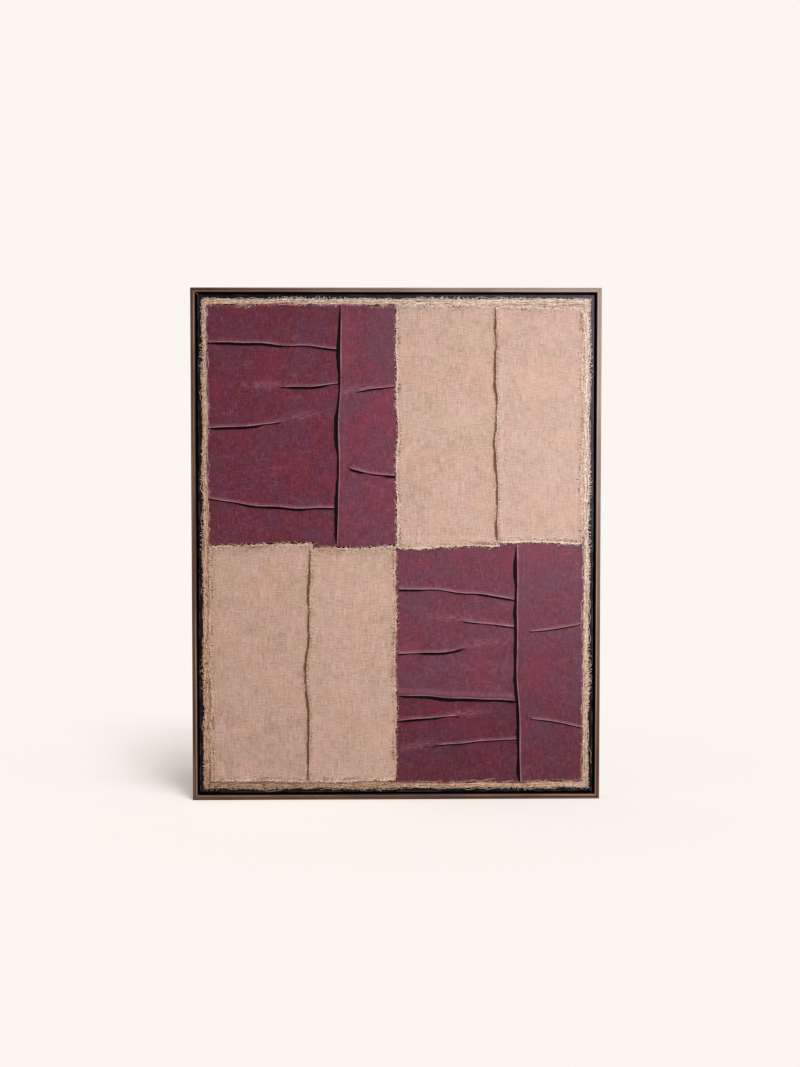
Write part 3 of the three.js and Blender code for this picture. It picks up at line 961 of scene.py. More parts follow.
borderThreads = {
    "thick": 0.85, "spacing": 2.4, "length": (4.0, 7.5), "longest": 9.5, "inside": (2.5, 5.0),
    "lean": 0.35, "curl": 0.45, "arch": 0.35, "points": 5,
}
borderStrands = {
    "thick": 1.35, "lanes": (2.9, 4.3, 5.7, 7.1, 8.5, 9.9), "piece": (50, 220), "step": 5.0, "gap": (-12, 10),
    "wander": 1.1, "wave": 60, "arch": 0.5, "loose": 0.7,
}
borderWisps = {
    "thick": 0.75, "lanes": (0.2, 2.4, 4.6, 6.8, 9.0, 11.2), "piece": (15, 90), "step": 3.5, "gap": (0, 35),
    "wander": 2.4, "wave": 38, "arch": 0.8, "loose": 1.5,
}
borderOver = {
    "thick": 0.65, "spacing": 2.4, "length": (3.0, 8.0), "inside": (2.0, 5.5), "lean": 0.6, "curl": 0.45,
    "arch": 0.5, "points": 4,
}
naturalThreads = {
    "thick": 0.6, "spacing": 2.3, "length": (2.4, 7.5), "inside": (1.0, 3.5), "lean": 0.8, "curl": 0.8,
    "arch": 0.5, "points": 6,
}
naturalStrands = {"thick": 0.85, "piece": (14, 70), "step": 3.6, "wander": 1.1, "wave": 24, "arch": 1.0, "gap": 10}
naturalLoops = {"thick": 0.65, "spacing": 6.0, "reach": (0.6, 2.8), "span": (2.5, 7.0), "arch": 1.0, "points": 7}
fluff = {"thick": 0.8, "spacing": 2.4, "depth": 9.0, "length": (2.0, 5.5), "arch": 1.1, "points": 5}
wineThreads = {
    "thick": 0.42, "spacing": 4.5, "length": (2.0, 5.0), "inside": (0.8, 2.5), "lean": 0.4, "curl": 0.4,
    "arch": 0.25, "points": 4,
}


def fringe(pieces, cloth, look, seed):
    draw = np.random.default_rng(seed)
    threads = []
    for name, plan, side, line, along, outward, (t0, t1) in rawSides(pieces, cloth):
        overWine = bool(plan.get("seat")) and plan["seat"][side] is not None
        high = (cloth["level"] if overWine or "seat" not in plan else cloth["seatLevel"]) + 0.25
        low = (wineCloth["level"] if overWine else groundCloth["level"]) + 0.55
        for t in np.arange(t0 + 1, t1 - 1, look["spacing"]):
            t = t + draw.uniform(-0.5, 0.5) * look["spacing"]
            base = basePoint(line, along, t)
            hump = float(humpOver(base[:1], base[1:])[0]) if overWine else 0
            threads.append(shortThread(draw, base, outward, look, high + hump, low))
    return threads


def edgeHeight(plan, cloth, x, y):
    # the cloth's front just inside one of its raw edges
    if "seat" not in plan:
        return cloth["level"] + 0 * x
    return seatHeight(plan, cloth, np.asarray(x, float), np.asarray(y, float))


def loops(pieces, cloth, look, seed):
    # single threads that have slipped out of the weave and stand in a loop along the edge
    draw = np.random.default_rng(seed)
    threads = []
    for name, plan, side, line, along, outward, (t0, t1) in rawSides(pieces, cloth):
        t = t0 + draw.uniform(2, 8)
        while t < t1 - 6:
            span, reach = draw.uniform(*look["span"]), draw.uniform(*look["reach"])
            steps = np.linspace(0, 1, look["points"])
            run = t + span * (steps - 0.5) * draw.uniform(0.6, 1.3)
            push = reach * np.sin(math.pi * steps) - draw.uniform(0.2, 1.5) + draw.normal(0, 0.25, len(steps))
            other = line(run) + (outward[0] + outward[1]) * push
            x, y = (other, run) if along else (run, other)
            arch = look["arch"] * np.sin(math.pi * steps) * draw.uniform(0.2, 1)
            lift = edgeHeight(plan, cloth, x, y) + 0.35 + arch
            threads.append(np.column_stack([x, y, lift]))
            t += draw.exponential(look["spacing"]) + 1.5
    return threads


def fluffNear(pieces, cloth, look, seed):
    # broken threads that lie on the cloth near its raw edges, thick in some places and thin in others
    draw = np.random.default_rng(seed)
    threads = []
    for name, plan, side, line, along, outward, (t0, t1) in rawSides(pieces, cloth):
        for t in np.arange(t0 + 4, t1 - 4, look["spacing"]):
            if draw.random() > 0.03 + 1.1 * max(0, waverAt(t, 90, seed + side + plan["seed"]) - 0.15):
                continue
            depth = look["depth"] * draw.random() ** 1.7 + 0.8
            turn = draw.uniform(0, math.pi)
            length = draw.uniform(*look["length"])
            middle = basePoint(line, along, t) - outward * depth
            spots, steps = flatThread(middle, turn, length, draw.normal(0, 0.5), look)
            lift = edgeHeight(plan, cloth, spots[:, 0], spots[:, 1]) + 0.45 + look["arch"] * (0.25 - steps ** 2) * 2
            threads.append(np.column_stack([spots, lift]))
    return threads


def seamThreads(look, seed):
    # short threads and loops along the right-hand side of the two seams in the natural cloth
    draw = np.random.default_rng(seed)
    threads = []
    for name in ("natural_upper_right", "natural_lower_middle"):
        lap, plan = laps[name], naturalPieces[name]
        line, share = foldLine(lap, 1)
        low, high = sorted((lap["from"][1], lap["to"][1]))
        for t in np.arange(low, high, 1.5):
            if draw.random() > 0.12 + 1.5 * max(0, waverAt(t, 55, seed)):
                continue
            middle = basePoint(line, 1, t) + (12 * draw.random() ** 1.8 - 6.4, draw.normal(0, 1))
            turn, length = draw.uniform(0, math.pi), draw.uniform(*look["length"])
            spots, steps = flatThread(middle, turn, length, draw.normal(0, 0.6), look)
            rise = np.interp(spots[:, 0] - line(spots[:, 1]), *zip(*[fold[:2] for fold in lapFold[5:]]))
            lift = edgeHeight(plan, naturalCloth, spots[:, 0], spots[:, 1]) + rise * lap["rise"] + 0.4
            threads.append(np.column_stack([spots, lift + look["arch"] * (0.25 - steps ** 2)]))
    return threads


def strands(pieces, cloth, look, seed):
    draw = np.random.default_rng(seed)
    threads = []
    for name, plan, side, line, along, outward, (t0, t1) in rawSides(pieces, cloth):
        overWine = bool(plan.get("seat")) and plan["seat"][side] is not None
        high = (cloth["level"] if overWine or "seat" not in plan else cloth["seatLevel"]) + 0.3
        t = t0 + draw.uniform(0, 20)
        while t < t1 - 12:
            length = draw.uniform(*look["piece"])
            stopAt = min(t + length, t1 - 2)
            offset = draw.uniform(-0.6, 1.2) * (outward[0] + outward[1])
            thread = longThread(draw, line, t, stopAt, along, offset, high, look)
            if overWine:
                thread[:, 2] += humpOver(thread[:, 0], thread[:, 1])
            threads.append(thread)
            t = stopAt + draw.uniform(0, look["gap"])
    return [thread for thread in threads if len(thread) > 2]


def borderFringe(look, seed):
    draw = np.random.default_rng(seed)
    halfX, halfY = groundSheet["half"]
    around = 4 * (halfX + halfY)
    threads = []
    for k, run in enumerate(np.arange(0, around, look["spacing"])):
        share = np.array([((run + draw.uniform(-1, 1)) / around) % 1.0])
        x, y, outX, outY, length = groundEdge(share)
        push = groundPush(length, 0.6)
        base = (float((x + outX * push)[0]), float((y + outY * push)[0]))
        outward = np.array([float(np.sign(outX[0])), float(np.sign(outY[0]))])
        if not outward.any():
            continue
        # here and there the threads stand apart like the teeth of a comb
        comb = max(0, float(waver(length, 190, seed)[0]))
        if comb > 0.25 and k % 2:
            continue
        full = 0.75 + 1.2 * comb
        lean = look["lean"] * (1 - 0.5 * min(comb, 1))
        cut = dict(look, length=[min(look["longest"], full * end) for end in look["length"]], lean=lean)
        threads.append(shortThread(draw, base, outward, cut, groundCloth["level"] + 0.45, 0.45))
    return threads


def borderLong(look, seed):
    draw = np.random.default_rng(seed)
    halfX, halfY = groundSheet["half"]
    threads = []
    for along, sign in ((0, -1), (1, 1), (0, 1), (1, -1)):
        half, other = (halfX, halfY) if along == 0 else (halfY, halfX)
        for lane in look["lanes"]:
            t = -half + draw.uniform(0, 12)
            while t < half - 30:
                stopAt = min(t + draw.uniform(*look["piece"]), half - 3)
                place = sign * (other - lane + draw.normal(0, look["loose"]))
                bend = int(draw.integers(1 << 30))

                def line(s, place=place, bend=bend, sign=sign):
                    return place + sign * 0.9 * groundCloth["waver"] * waver(s, 150, bend)

                high = groundCloth["level"] + 0.35 * look["thick"] + (1.3 if look is borderWisps else 0)
                threads.append(longThread(draw, line, t, stopAt, along, 0.0, high, look))
                t = stopAt + draw.uniform(*look["gap"])
    return [thread for thread in threads if len(thread) > 2]


def borderInner(look, seed):
    # some border threads lie over the edges of the wine and natural cloth
    draw = np.random.default_rng(seed)
    threads = []
    for pieces, cloth in ((winePieces, wineCloth), (naturalPieces, naturalCloth)):
        for name, plan, side, line, along, outward, (t0, t1) in rawSides(pieces, cloth):
            if plan.get("seat") and plan["seat"][side] is not None:
                continue
            top = (cloth["seatLevel"] if "seat" in plan else cloth["level"]) + 0.5
            for t in np.arange(t0 + 2, t1 - 2, look["spacing"]):
                t = t + draw.uniform(-0.5, 0.5) * look["spacing"]
                if draw.random() > 0.25 + 0.9 * max(0, waverAt(t, 70, seed + side)):
                    continue
                base = basePoint(line, along, t)
                threads.append(shortThread(draw, base, -outward, look, groundCloth["level"] + 0.6, top))
    return threads


threadPlans = {
    "border_fringe": (borderThreads, borderFringe(borderThreads, 31)),
    "border_strands": (borderStrands, borderLong(borderStrands, 32)),
    "border_wisps": (borderWisps, borderLong(borderWisps, 40)),
    "border_inner": (borderOver, borderInner(borderOver, 33)),
    "natural_fringe": (naturalThreads, fringe(naturalPieces, naturalCloth, naturalThreads, 34)),
    "natural_strands": (naturalStrands, strands(naturalPieces, naturalCloth, naturalStrands, 35)),
    "natural_loops": (naturalLoops, loops(naturalPieces, naturalCloth, naturalLoops, 37)),
    "natural_fluff": (fluff, fluffNear(naturalPieces, naturalCloth, fluff, 38) + seamThreads(fluff, 39)),
    "wine_fringe": (wineThreads, fringe(winePieces, wineCloth, wineThreads, 36)),
}
threads = {name: threadBunch(name, laid, look["thick"]) for name, (look, laid) in threadPlans.items()}
print("threads laid:", {name: len(piece.data.polygons) for name, piece in threads.items()})


# ---- finishes
# A cloth's look holds its colours, the sizes of its threads and slubs in metres, the scales of its larger patterns,
# and shares from 0 to 1 that say how strongly each shows.
# In every look, dark is the colour of painted shade in the folds, crest that of worn fold tops with a painted
# highlight, and the pale haze colour that of a painted sheen.
wineLook = {
    "deep": tone(88, 26, 44), "warm": tone(112, 34, 50), "veil": tone(88, 38, 70), "earth": tone(114, 52, 46),
    "light": tone(142, 72, 90), "shade": tone(66, 20, 34), "crest": tone(182, 126, 138),
    "dark": tone(6, 4, 5), "hole": tone(20, 8, 12), "soil": tone(64, 24, 38), "fibre": tone(150, 100, 104),
    "threadWide": 0.0015, "threadLong": 0.013, "slubWide": 0.0040, "slubLong": 0.026,
    "cloud": 95.0, "stain": 26.0, "speck": 330.0,
    "upShare": 0.7, "crossShare": 0.53, "veilShare": 0.6, "earthShare": 0.5,
    "pink": tone(150, 60, 80), "green": tone(84, 70, 58), "tintShare": 0.15, "hazeTone": tone(210, 188, 208),
    "unevenness": 0.42, "shadeRagged": 0.3, "rust": tone(120, 60, 50), "rustShare": 0.0, "crestShare": 0.85,
    "drift": 12.0, "driftShare": 0.36, "ruddy": tone(128, 36, 58), "greyed": tone(92, 56, 72),
    "soilShare": 0.3, "holeShare": 0.0, "open": 0.13, "fleckShare": 0.0, "veins": 0.12,
    "roughness": 0.6, "specular": 0.12, "coat": 0.30, "bump": 0.0004,
}
naturalLook = {
    "deep": tone(192, 156, 137), "warm": tone(208, 173, 154), "veil": tone(206, 166, 154), "earth": tone(200, 162, 134),
    "light": tone(230, 202, 184), "shade": tone(150, 112, 90), "crest": tone(236, 212, 194),
    "dark": tone(118, 79, 54), "hole": tone(84, 54, 38), "soil": tone(140, 100, 74), "fibre": tone(240, 218, 200),
    "threadWide": 0.0019, "threadLong": 0.018, "slubWide": 0.0046, "slubLong": 0.05,
    "cloud": 50.0, "stain": 14.0, "speck": 300.0,
    "upShare": 0.56, "crossShare": 0.40, "veilShare": 0.7, "earthShare": 0.4,
    "pink": tone(222, 164, 160), "green": tone(204, 183, 140), "tintShare": 0.33, "hazeTone": tone(206, 196, 200),
    "unevenness": 0.26, "shadeRagged": 0.8, "rust": tone(188, 118, 76), "rustShare": 0.7, "crestShare": 0.35,
    "drift": 11.0, "driftShare": 0.26, "ruddy": tone(226, 174, 144), "greyed": tone(200, 178, 150),
    "soilShare": 0.8, "holeShare": 0.75, "open": 0.13, "fleckShare": 0.75, "veins": 0.0,
    "roughness": 0.9, "specular": 0.2, "coat": 0.0, "bump": 0.0008,
}
borderLook = {
    "deep": tone(170, 130, 106), "warm": tone(204, 162, 134), "veil": tone(198, 152, 130), "earth": tone(196, 142, 106),
    "light": tone(236, 208, 184), "shade": tone(104, 74, 60), "crest": tone(236, 212, 192),
    "dark": tone(24, 17, 17), "hole": tone(34, 24, 22), "soil": tone(120, 84, 62), "fibre": tone(238, 212, 190),
    "threadWide": 0.0022, "threadLong": 0.012, "slubWide": 0.0045, "slubLong": 0.03,
    "cloud": 90.0, "stain": 24.0, "speck": 300.0,
    "upShare": 0.8, "crossShare": 0.8, "veilShare": 0.75, "earthShare": 0.5,
    "pink": tone(222, 164, 160), "green": tone(204, 183, 140), "tintShare": 0.2, "hazeTone": tone(206, 196, 200),
    "unevenness": 0.3, "shadeRagged": 0.6, "rust": tone(188, 118, 76), "rustShare": 0.0, "crestShare": 0.0,
    "drift": 11.0, "driftShare": 0.3, "ruddy": tone(228, 172, 146), "greyed": tone(200, 178, 150),
    "soilShare": 0.5, "holeShare": 0.9, "open": 0.22, "fleckShare": 0.0, "veins": 0.0,
    "roughness": 0.92, "specular": 0.2, "coat": 0.0, "bump": 0.0009,
}


def linenFinish(name, look):
    cloth = Finish(name)
    uv = cloth.node("ShaderNodeUVMap", {"uv_map": "cloth"}, {}, "UV")
    # the threads don't run quite straight
    sway = cloth.noise(uv, 24.0, 2.0, out="Color")
    sway = cloth.stretch(cloth.shift(sway, (-0.5, -0.5, 0.0)), (0.005, 0.005, 0.0))
    laid = cloth.node("ShaderNodeVectorMath", {"operation": "ADD"}, {0: uv, 1: sway})
    elsewhere = cloth.shift(laid, (0.31, 0.17, 0.0))
    wide, long = 1 / look["threadWide"], 1 / look["threadLong"]
    up = cloth.noise(cloth.stretch(laid, (wide, long, 1.0)), 1.0, 2.0, 0.6)
    cross = cloth.noise(cloth.stretch(elsewhere, (long, wide, 1.0)), 1.0, 2.0, 0.6)
    slub = cloth.noise(cloth.stretch(elsewhere, (1 / look["slubWide"], 1 / look["slubLong"], 1.0)), 1.0, 3.0, 0.6)
    cloud = cloth.noise(uv, look["cloud"], 4.0, 0.65)
    stain = cloth.noiseAt(uv, (0.7, 0.2), look["stain"], 4.0)
    patch = cloth.noiseAt(uv, (0.1, 0.6), look["stain"] * 1.7)
    speck = cloth.noiseAt(uv, (0.2, 0.9), look["speck"], 2.0)
    colour = cloth.blend(cloth.band(cloud, 0.36, 0.64), look["deep"], look["warm"])
    colour = cloth.blend(cloth.band(stain, 0.42, 0.64) * look["veilShare"], colour, look["veil"])
    colour = cloth.blend(cloth.band(patch, 0.50, 0.70) * look["earthShare"], colour, look["earth"])
    runUp = up * 0.62 + slub * 0.38
    colour = cloth.bothWays(colour, runUp, 0.0, 0.16, look["upShare"], look["light"], look["shade"])
    colour = cloth.bothWays(colour, cross, 0.02, 0.20, look["crossShare"], look["light"], look["shade"])
    colour = cloth.blend(cloth.band(speck, 0.60, 0.72) * 0.35, colour, look["light"])
    hue = cloth.noiseAt(uv, (0.5, 0.4), 130.0, 4.0, 0.75)
    colour = cloth.bothWays(colour, hue, 0.0, 0.12, look["tintShare"], look["pink"], look["green"])
    if look["veins"]:
        # fine old creases
        lie = cloth.noise(cloth.stretch(cloth.shift(uv, (0.4, 0.3, 0.0)), (5.0, 15.0, 1.0)), 1.0, 3.0, 0.55) - 0.5
        vein = cloth.band(lie.size(), 0.012, 0.0) * cloth.band(patch, 0.44, 0.56)
        colour = cloth.blend(vein * look["veins"], colour, look["crest"])
    crest, crease, bare, soil, dye, faded, rust, scuff = (
        cloth.attribute(mark) for mark in ("crest", "crease", "bare", "soil", "dye", "faded", "rust", "scuff")
    )
    # the dye has taken unevenly over a hand's breadth
    drift = cloth.noiseAt(uv, (0.3, 0.8), look["drift"])
    colour = cloth.bothWays(colour, drift, 0.0, 0.14, look["driftShare"], look["ruddy"], look["greyed"])
    # lighter or darker by each piece's dye, which on the ground cloth is painted shade towards the lower left, and by
    # uneven staining
    colour = cloth.shade(colour, 1.0 + dye * 0.16 + (stain - 0.5) * look["unevenness"])
    soiled = cloth.band(soil + (cloud - 0.5) * 1.1 + (slub - 0.5) * 0.6, 0.22, 0.95) * look["soilShare"]
    colour = cloth.blend(soiled, colour, look["soil"])
    # a painted sheen: a pale haze, strongest on the pieces towards the upper right
    colour = cloth.blend(faded, colour, look["hazeTone"])
    colour = cloth.blend(scuff * cloth.band(cross, 0.40, 0.62) * 0.4, colour, look["crest"])
    ragged = cloth.band(bare * 0.42 + speck * 0.6 + up * 0.3 + (stain - 0.5) * 0.6, 0.66, 0.86)
    colour = cloth.blend(ragged * 0.7, colour, look["fibre"])
    if look["fleckShare"]:
        # broken pale threads beside the seams and the raw edges
        flecks = cloth.band(speck, 0.53, 0.60) * cloth.band(soil, 0.15, 0.45) * cloth.band(patch, 0.47, 0.56)
        colour = cloth.blend(flecks * look["fleckShare"], colour, look["crest"])
    if look["holeShare"]:
        holes = cloth.band(bare * look["open"] + soil * 0.10 - speck - cross * 0.4 - up * 0.1, -0.585, -0.53)
        near = 0.35 + cloth.band(bare + soil, 0.05, 0.30) * 0.65
        colour = cloth.blend(holes * near * look["holeShare"], colour, look["hole"])
    colour = cloth.blend(rust * look["rustShare"], colour, look["rust"])
    # fold tops worn paler, with a painted highlight
    worn = cloth.band(crest + (speck - 0.5) * 0.6 + (stain - 0.5) * 1.2, 0.40, 0.90) * look["crestShare"]
    colour = cloth.blend(worn, colour, look["crest"])
    # painted shade, near black, in the folds and beside laps and raw edges
    paintedShade = cloth.band(crease + (cloud - 0.5) * look["shadeRagged"] + (cross - 0.5) * 0.2, 0.22, 0.72) * 0.96
    colour = cloth.blend(paintedShade, colour, look["dark"])
    height = up + cross + speck * 0.6 + slub * 0.6
    folds = cloth.noise(uv, 48.0, 2.0, 0.5)
    normal = cloth.bump(folds, 0.0014, 0.4)
    normal = cloth.bump(height, look["bump"], 1.0, normal)
    rough = look["roughness"] + (cloud - 0.5) * 0.3 + paintedShade * 0.3
    cloth.surface(Base_Color=colour, Roughness=rough, Normal=normal, Specular_IOR_Level=look["specular"])
    cloth.surface(Coat_Weight=(1.0 - paintedShade) * look["coat"], Coat_Roughness=0.55)
    return cloth


# paleLight and paleDark are the thread colours under painted light towards the upper right, and rust the browner colour
# of painted shade towards the lower left
threadLooks = {
    "natural": {
        "light": tone(252, 224, 202), "dark": tone(216, 166, 135),
        "paleLight": tone(252, 240, 230), "paleDark": tone(230, 202, 186),
        "rust": tone(246, 186, 142), "dirt": tone(74, 50, 39), "roughness": 0.9,
    },
    "wine": {
        "light": tone(128, 66, 78), "dark": tone(78, 30, 42),
        "paleLight": tone(140, 84, 96), "paleDark": tone(94, 48, 60),
        "rust": tone(96, 44, 50), "dirt": tone(60, 24, 34), "roughness": 0.8,
    },
}


def threadFinish(name, look):
    thread = Finish(name)
    place = thread.node("ShaderNodeTexCoord", {}, {}, "Object")
    x, y, z = thread.parts(place)
    patch = thread.noise(place, 160.0, 2.0, 0.6)
    twist = thread.noise(place, 1900.0, 1.0, 0.5)
    # painted light makes the threads paler towards the upper right, and painted shade makes them browner and dirtier
    # towards the lower left and darker along the bottom
    pale = thread.upperRight(x, z, 0.18, 0.86)
    light = thread.blend(pale, look["light"], look["paleLight"])
    dark = thread.blend(pale, look["dark"], look["paleDark"])
    colour = thread.blend(thread.band(patch, 0.35, 0.65), dark, light)
    # painted shade, browner towards the lower left
    brown = thread.upperRight(x, z, 0.35, -0.15)
    colour = thread.blend(brown * 0.5, colour, look["rust"])
    dirty = thread.noise(place, 110.0, 4.0, 0.8)
    colour = thread.blend(thread.band(dirty, 0.52, 0.63) * (0.22 + brown * 0.6), colour, look["dirt"])
    # painted shade along the bottom, deepest at the left
    colour = thread.shade(colour, 0.8 + twist * 0.4 - thread.band(z, 0.080, 0.040) * (0.15 - x * 0.35))
    thread.surface(Base_Color=colour, Roughness=look["roughness"], Normal=thread.bump(twist, 0.0002, 0.6))
    thread.surface(Specular_IOR_Level=0.25, Sheen_Weight=0.15)
    return thread


woodLook = {
    "brown": tone(94, 57, 36), "dark": tone(46, 25, 16), "light": tone(168, 127, 98), "black": tone(8, 7, 8),
    # a painted sheen towards the upper right
    "sheenPale": tone(196, 178, 166),
    "mitre": 0.0004, "grainAcross": 300.0, "grainAlong": 2.5,
    # across the rail's face, from its outer side in: how light the wood is rubbed, with a painted highlight near the
    # inner arris
    "rubbedAndLit": [
        (0.0, 0.30), (0.12, 0.48), (0.26, 0.56), (0.38, 0.20), (0.54, 0.24),
        (0.66, 0.50), (0.80, 0.98), (0.90, 0.66), (1.0, 0.10),
    ],
}


def edgeDistances(finish):
    # distances in from the frame's outer sides, at the left or right and at the bottom or top
    place = finish.node("ShaderNodeTexCoord", {}, {}, "Object")
    x, y, z = finish.parts(place)
    fromSide = frameHalf[0] - x.size()
    fromEnd = frameHalf[1] - (z - frameHalf[1]).size()
    return place, x, y, z, fromSide, fromEnd


def railFinish():
    rail = Finish("bronze_stained_rail")
    place, x, y, z, fromSide, fromEnd = edgeDistances(rail)
    across, along = woodLook["grainAcross"], woodLook["grainAlong"]
    level = rail.band(fromSide - fromEnd, -0.0002, 0.0002)        # 1 on the top and bottom rails
    uprightGrain = rail.noise(rail.stretch(place, (across, across, along)), 1.0, 4.0, 0.6)
    levelGrain = rail.noise(rail.stretch(place, (along, across, across)), 1.0, 4.0, 0.6)
    grain = uprightGrain + (levelGrain - uprightGrain) * level
    cloud = rail.noise(place, 9.0, 3.0, 0.6)
    nearest = fromSide.least(fromEnd)
    front = rail.band(y, -0.0215, -0.0232)
    # light and dark streaks across the face, with a painted highlight near the inner arris
    stops = [(spot, (share, share, share, 1.0)) for spot, share in woodLook["rubbedAndLit"]]
    rubbedAndLit = rail.node("ShaderNodeValToRGB", {"stops": stops}, {0: nearest / 0.009})
    # painted light: the highlight grows towards the upper right
    litFromUpperRight = 0.5 + rail.upperRight(x, z, -0.2, 0.7) * 0.6
    lightness = (rubbedAndLit - 0.42) * front * litFromUpperRight * (0.45 + cloud * 0.7)
    lightness = lightness + (grain - 0.5) * 2.4 + (cloud - 0.5) * 0.5 + 0.5
    colour = rail.blend(rail.band(lightness, 0.05, 0.55), woodLook["dark"], woodLook["brown"])
    colour = rail.blend(rail.band(lightness, 0.55, 1.05) * 0.85, colour, woodLook["light"])
    # painted sheen, paler towards the upper right
    pale = rail.upperRight(x, z, 0.35, 0.95) * (0.18 + cloud * 0.3)
    colour = rail.blend(pale, colour, woodLook["sheenPale"])
    inner = rail.band(nearest, 0.0088, 0.0091)
    colour = rail.blend(inner, colour, woodLook["black"])
    joint = (fromSide - fromEnd).size()
    mitre = (1.0 - rail.band(joint, 0.0001, woodLook["mitre"])) * rail.band(y, 0.030, 0.02)
    colour = rail.blend(mitre * 0.6, colour, woodLook["black"])
    rough = 0.34 + grain * 0.26 + inner * 0.3
    rail.surface(Base_Color=colour, Roughness=rough, Metallic=0.0, Normal=rail.bump(grain, 0.0004, 0.5))
    rail.surface(Coat_Roughness=0.35, Coat_Weight=(1.0 - inner) * 0.25)
    return rail


panelLook = {
    # black and blue paint, a pale scuff colour that also paints highlights, a grey painted sheen, and the bare plywood
    "black": tone(6, 5, 7), "blue": tone(20, 16, 25), "scuff": tone(96, 88, 102), "paintedSheen": tone(52, 45, 56),
    "ply": tone(188, 154, 116), "plyDark": tone(158, 122, 86), "roughness": 0.36,
}


def panelFinish():
    panel = Finish("black_painted_panel")
    place, x, y, z, fromSide, fromEnd = edgeDistances(panel)
    level = panel.band(fromSide - fromEnd, -0.002, 0.002)
    upright = panel.noise(panel.stretch(place, (620.0, 620.0, 22.0)), 1.0, 3.0, 0.6)
    crosswise = panel.noise(panel.stretch(place, (22.0, 620.0, 620.0)), 1.0, 3.0, 0.6)
    stroke = upright + (crosswise - upright) * level
    cloud = panel.noise(place, 38.0, 4.0, 0.6)
    colour = panel.blend(panel.band(cloud, 0.40, 0.66), panelLook["black"], panelLook["blue"])
    # painted sheen greys the black paint towards the upper right and lightens the brush strokes there
    paintedSheen = panel.upperRight(x, z, 0.40, 0.95)
    colour = panel.blend(paintedSheen, colour, panelLook["paintedSheen"])
    colour = panel.blend(panel.band(stroke, 0.60, 0.78) * (0.12 + paintedSheen * 0.4), colour, panelLook["scuff"])
    nearest = fromSide.least(fromEnd)
    # a painted highlight, with some wear, along the panel's arris
    arris = panel.band(nearest, 0.0138, 0.0143) * panel.band(nearest, 0.0160, 0.0150) * panel.band(cloud, 0.45, 0.6)
    colour = panel.blend(arris * 0.55, colour, panelLook["scuff"])
    behind = panel.band(y, -0.0145, -0.0138) * panel.band(nearest, 0.0165, 0.0170)
    wood = panel.noise(panel.stretch(place, (260.0, 260.0, 5.0)), 1.0, 4.0, 0.6)
    bareWood = panel.blend(wood, panelLook["plyDark"], panelLook["ply"])
    colour = panel.blend(behind, colour, bareWood)
    rough = panelLook["roughness"] + (stroke - 0.5) * 0.3 + behind * 0.35
    panel.surface(Base_Color=colour, Roughness=rough, Normal=panel.bump(stroke, 0.0005, 0.7))
    panel.surface(Specular_IOR_Level=0.33, Specular_Tint=(0.88, 0.76, 0.80, 1.0))
    return panel


wineLinen = linenFinish("wine_linen", wineLook)
naturalLinen = linenFinish("natural_linen", naturalLook)
borderLinen = linenFinish("border_linen", borderLook)
naturalThread = threadFinish("natural_thread", threadLooks["natural"])
wineThread = threadFinish("wine_thread", threadLooks["wine"])
railWood = railFinish()
panelPaint = panelFinish()

for name, piece in cloths.items():
    if name.startswith("wine"):
        paint(piece, wineLinen)
    else:
        paint(piece, borderLinen if name == "ground_linen" else naturalLinen)
for name, piece in threads.items():
    if name.startswith("wine"):
        paint(piece, wineThread)
    else:
        paint(piece, naturalThread)
for name, node in nodes.items():
    if name.startswith("frame_rail"):
        paint(node, railWood)
paint(nodes["ground_panel"], panelPaint)
print("finishes made")

# ---- what each sheet was cut to
hem = 8        # folded under along a lap


for name, plan in {**winePieces, **naturalPieces}.items():
    corners = np.array(plan["corners"])
    flat = (np.ptp(corners, axis=0) + (hem if name in laps else 0)) * mm
    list(plan["rests"])

# ---- floor and light
# The main light is a tall strip box: three suns one above the other, each lower one nearer the front.
studio = {
    "backdrop": tone(251, 246, 240), "ambient": (0.34, 0.33, 0.32), "floorSize": 60.0, "floorAlbedo": 0.78,
    "strip": [  # height, turn to the right of the front, power
        (46, 13, 0.85), (58, 19, 0.72), (70, 30, 0.65),
    ],
    "stripAngle": 14.0,
    "boxAt": (0.95, -2.0, 1.20), "boxAim": (0.40, 0.0, 0.70), "boxSize": 0.6, "boxPower": 2.2, "boxSpread": 52.0,
}


def lampAt(name, kind, place, aim):
    lamp = bpy.data.objects.new(name, bpy.data.lights.new(name, kind))
    bpy.context.scene.collection.objects.link(lamp)
    lamp.location = place
    way = np.array(aim, float) - np.array(place, float)
    lamp.rotation_euler = (math.atan2(math.hypot(way[0], way[1]), -way[2]), 0, math.atan2(-way[0], way[1]))
    return lamp


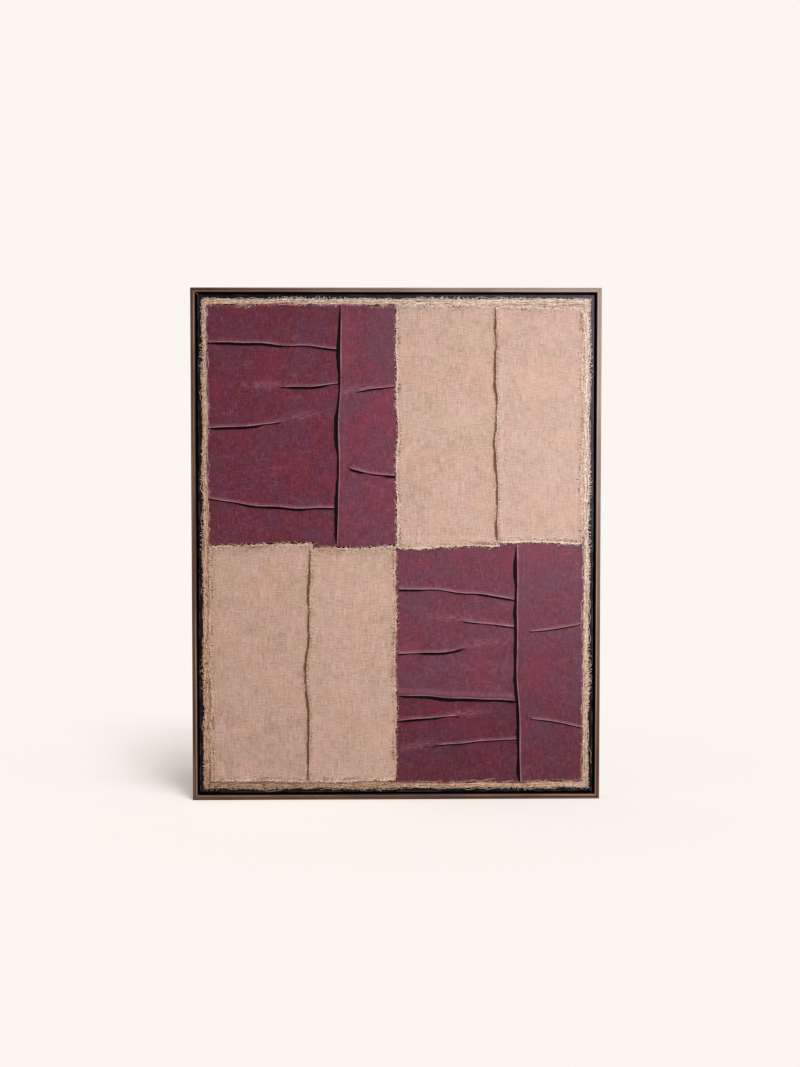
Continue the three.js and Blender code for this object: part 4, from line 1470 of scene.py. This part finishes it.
def layFloor():
    bpy.ops.object.select_all(action="DESELECT")
    size, place = studio["floorSize"], (0, 0, -0.0005)
    bpy.ops.mesh.primitive_circle_add(vertices=96, radius=size, fill_type="NGON", location=place)
    floor = bpy.context.object
    floor.name = "studio_floor"
    bpy.ops.object.transform_apply(location=True, rotation=True, scale=True)
    finish = Finish("pale_floor")
    strip = sum(power * math.sin(math.radians(height)) for height, turn, power in studio["strip"]) / math.pi
    backdrop, albedo = studio["backdrop"], studio["floorAlbedo"]
    glow = [backdrop[k] - albedo * (studio["ambient"][k] + strip) for k in range(3)]
    finish.surface(Base_Color=(albedo, albedo, albedo, 1.0), Roughness=1.0, Specular_IOR_Level=0.0)
    finish.surface(Emission_Color=(*glow, 1.0), Emission_Strength=1.0)
    floor.data.materials.append(finish.material)
    floor.visible_diffuse = False
    floor.visible_glossy = False


def lightStudio():
    scene = bpy.context.scene
    scene.view_settings.view_transform = "Standard"
    world = bpy.data.worlds.new("studio")
    scene.world = world
    world.use_nodes = True
    tree = world.node_tree
    tree.nodes.clear()
    seen = tree.nodes.new("ShaderNodeBackground")
    seen.inputs["Color"].default_value = studio["backdrop"]
    fill = tree.nodes.new("ShaderNodeBackground")
    fill.inputs["Color"].default_value = (*studio["ambient"], 1.0)
    path = tree.nodes.new("ShaderNodeLightPath")
    pick = tree.nodes.new("ShaderNodeMixShader")
    output = tree.nodes.new("ShaderNodeOutputWorld")
    tree.links.new(path.outputs["Is Camera Ray"], pick.inputs[0])
    tree.links.new(fill.outputs[0], pick.inputs[1])
    tree.links.new(seen.outputs[0], pick.inputs[2])
    tree.links.new(pick.outputs[0], output.inputs["Surface"])
    for height, turn, power in studio["strip"]:
        height, turn = math.radians(height), math.radians(turn)
        way = (math.cos(height) * math.sin(turn), -math.cos(height) * math.cos(turn), math.sin(height))
        sun = lampAt("strip", "SUN", tuple(3 * np.array(way)), (0, 0, 0))
        sun.data.energy = power
        sun.data.angle = math.radians(studio["stripAngle"])
    box = lampAt("gridded_box", "AREA", studio["boxAt"], studio["boxAim"])
    box.data.shape = "SQUARE"
    box.data.size = studio["boxSize"]
    box.data.energy = studio["boxPower"]
    box.data.spread = math.radians(studio["boxSpread"])
    # flagged off the floor
    lit = bpy.data.collections.new("lit_by_box")
    for thing in bpy.data.objects:
        if thing.type == "MESH" and thing.name != "studio_floor":
            lit.objects.link(thing)
    box.light_linking.receiver_collection = lit


layFloor()
lightStudio()
print("floor and lights set")
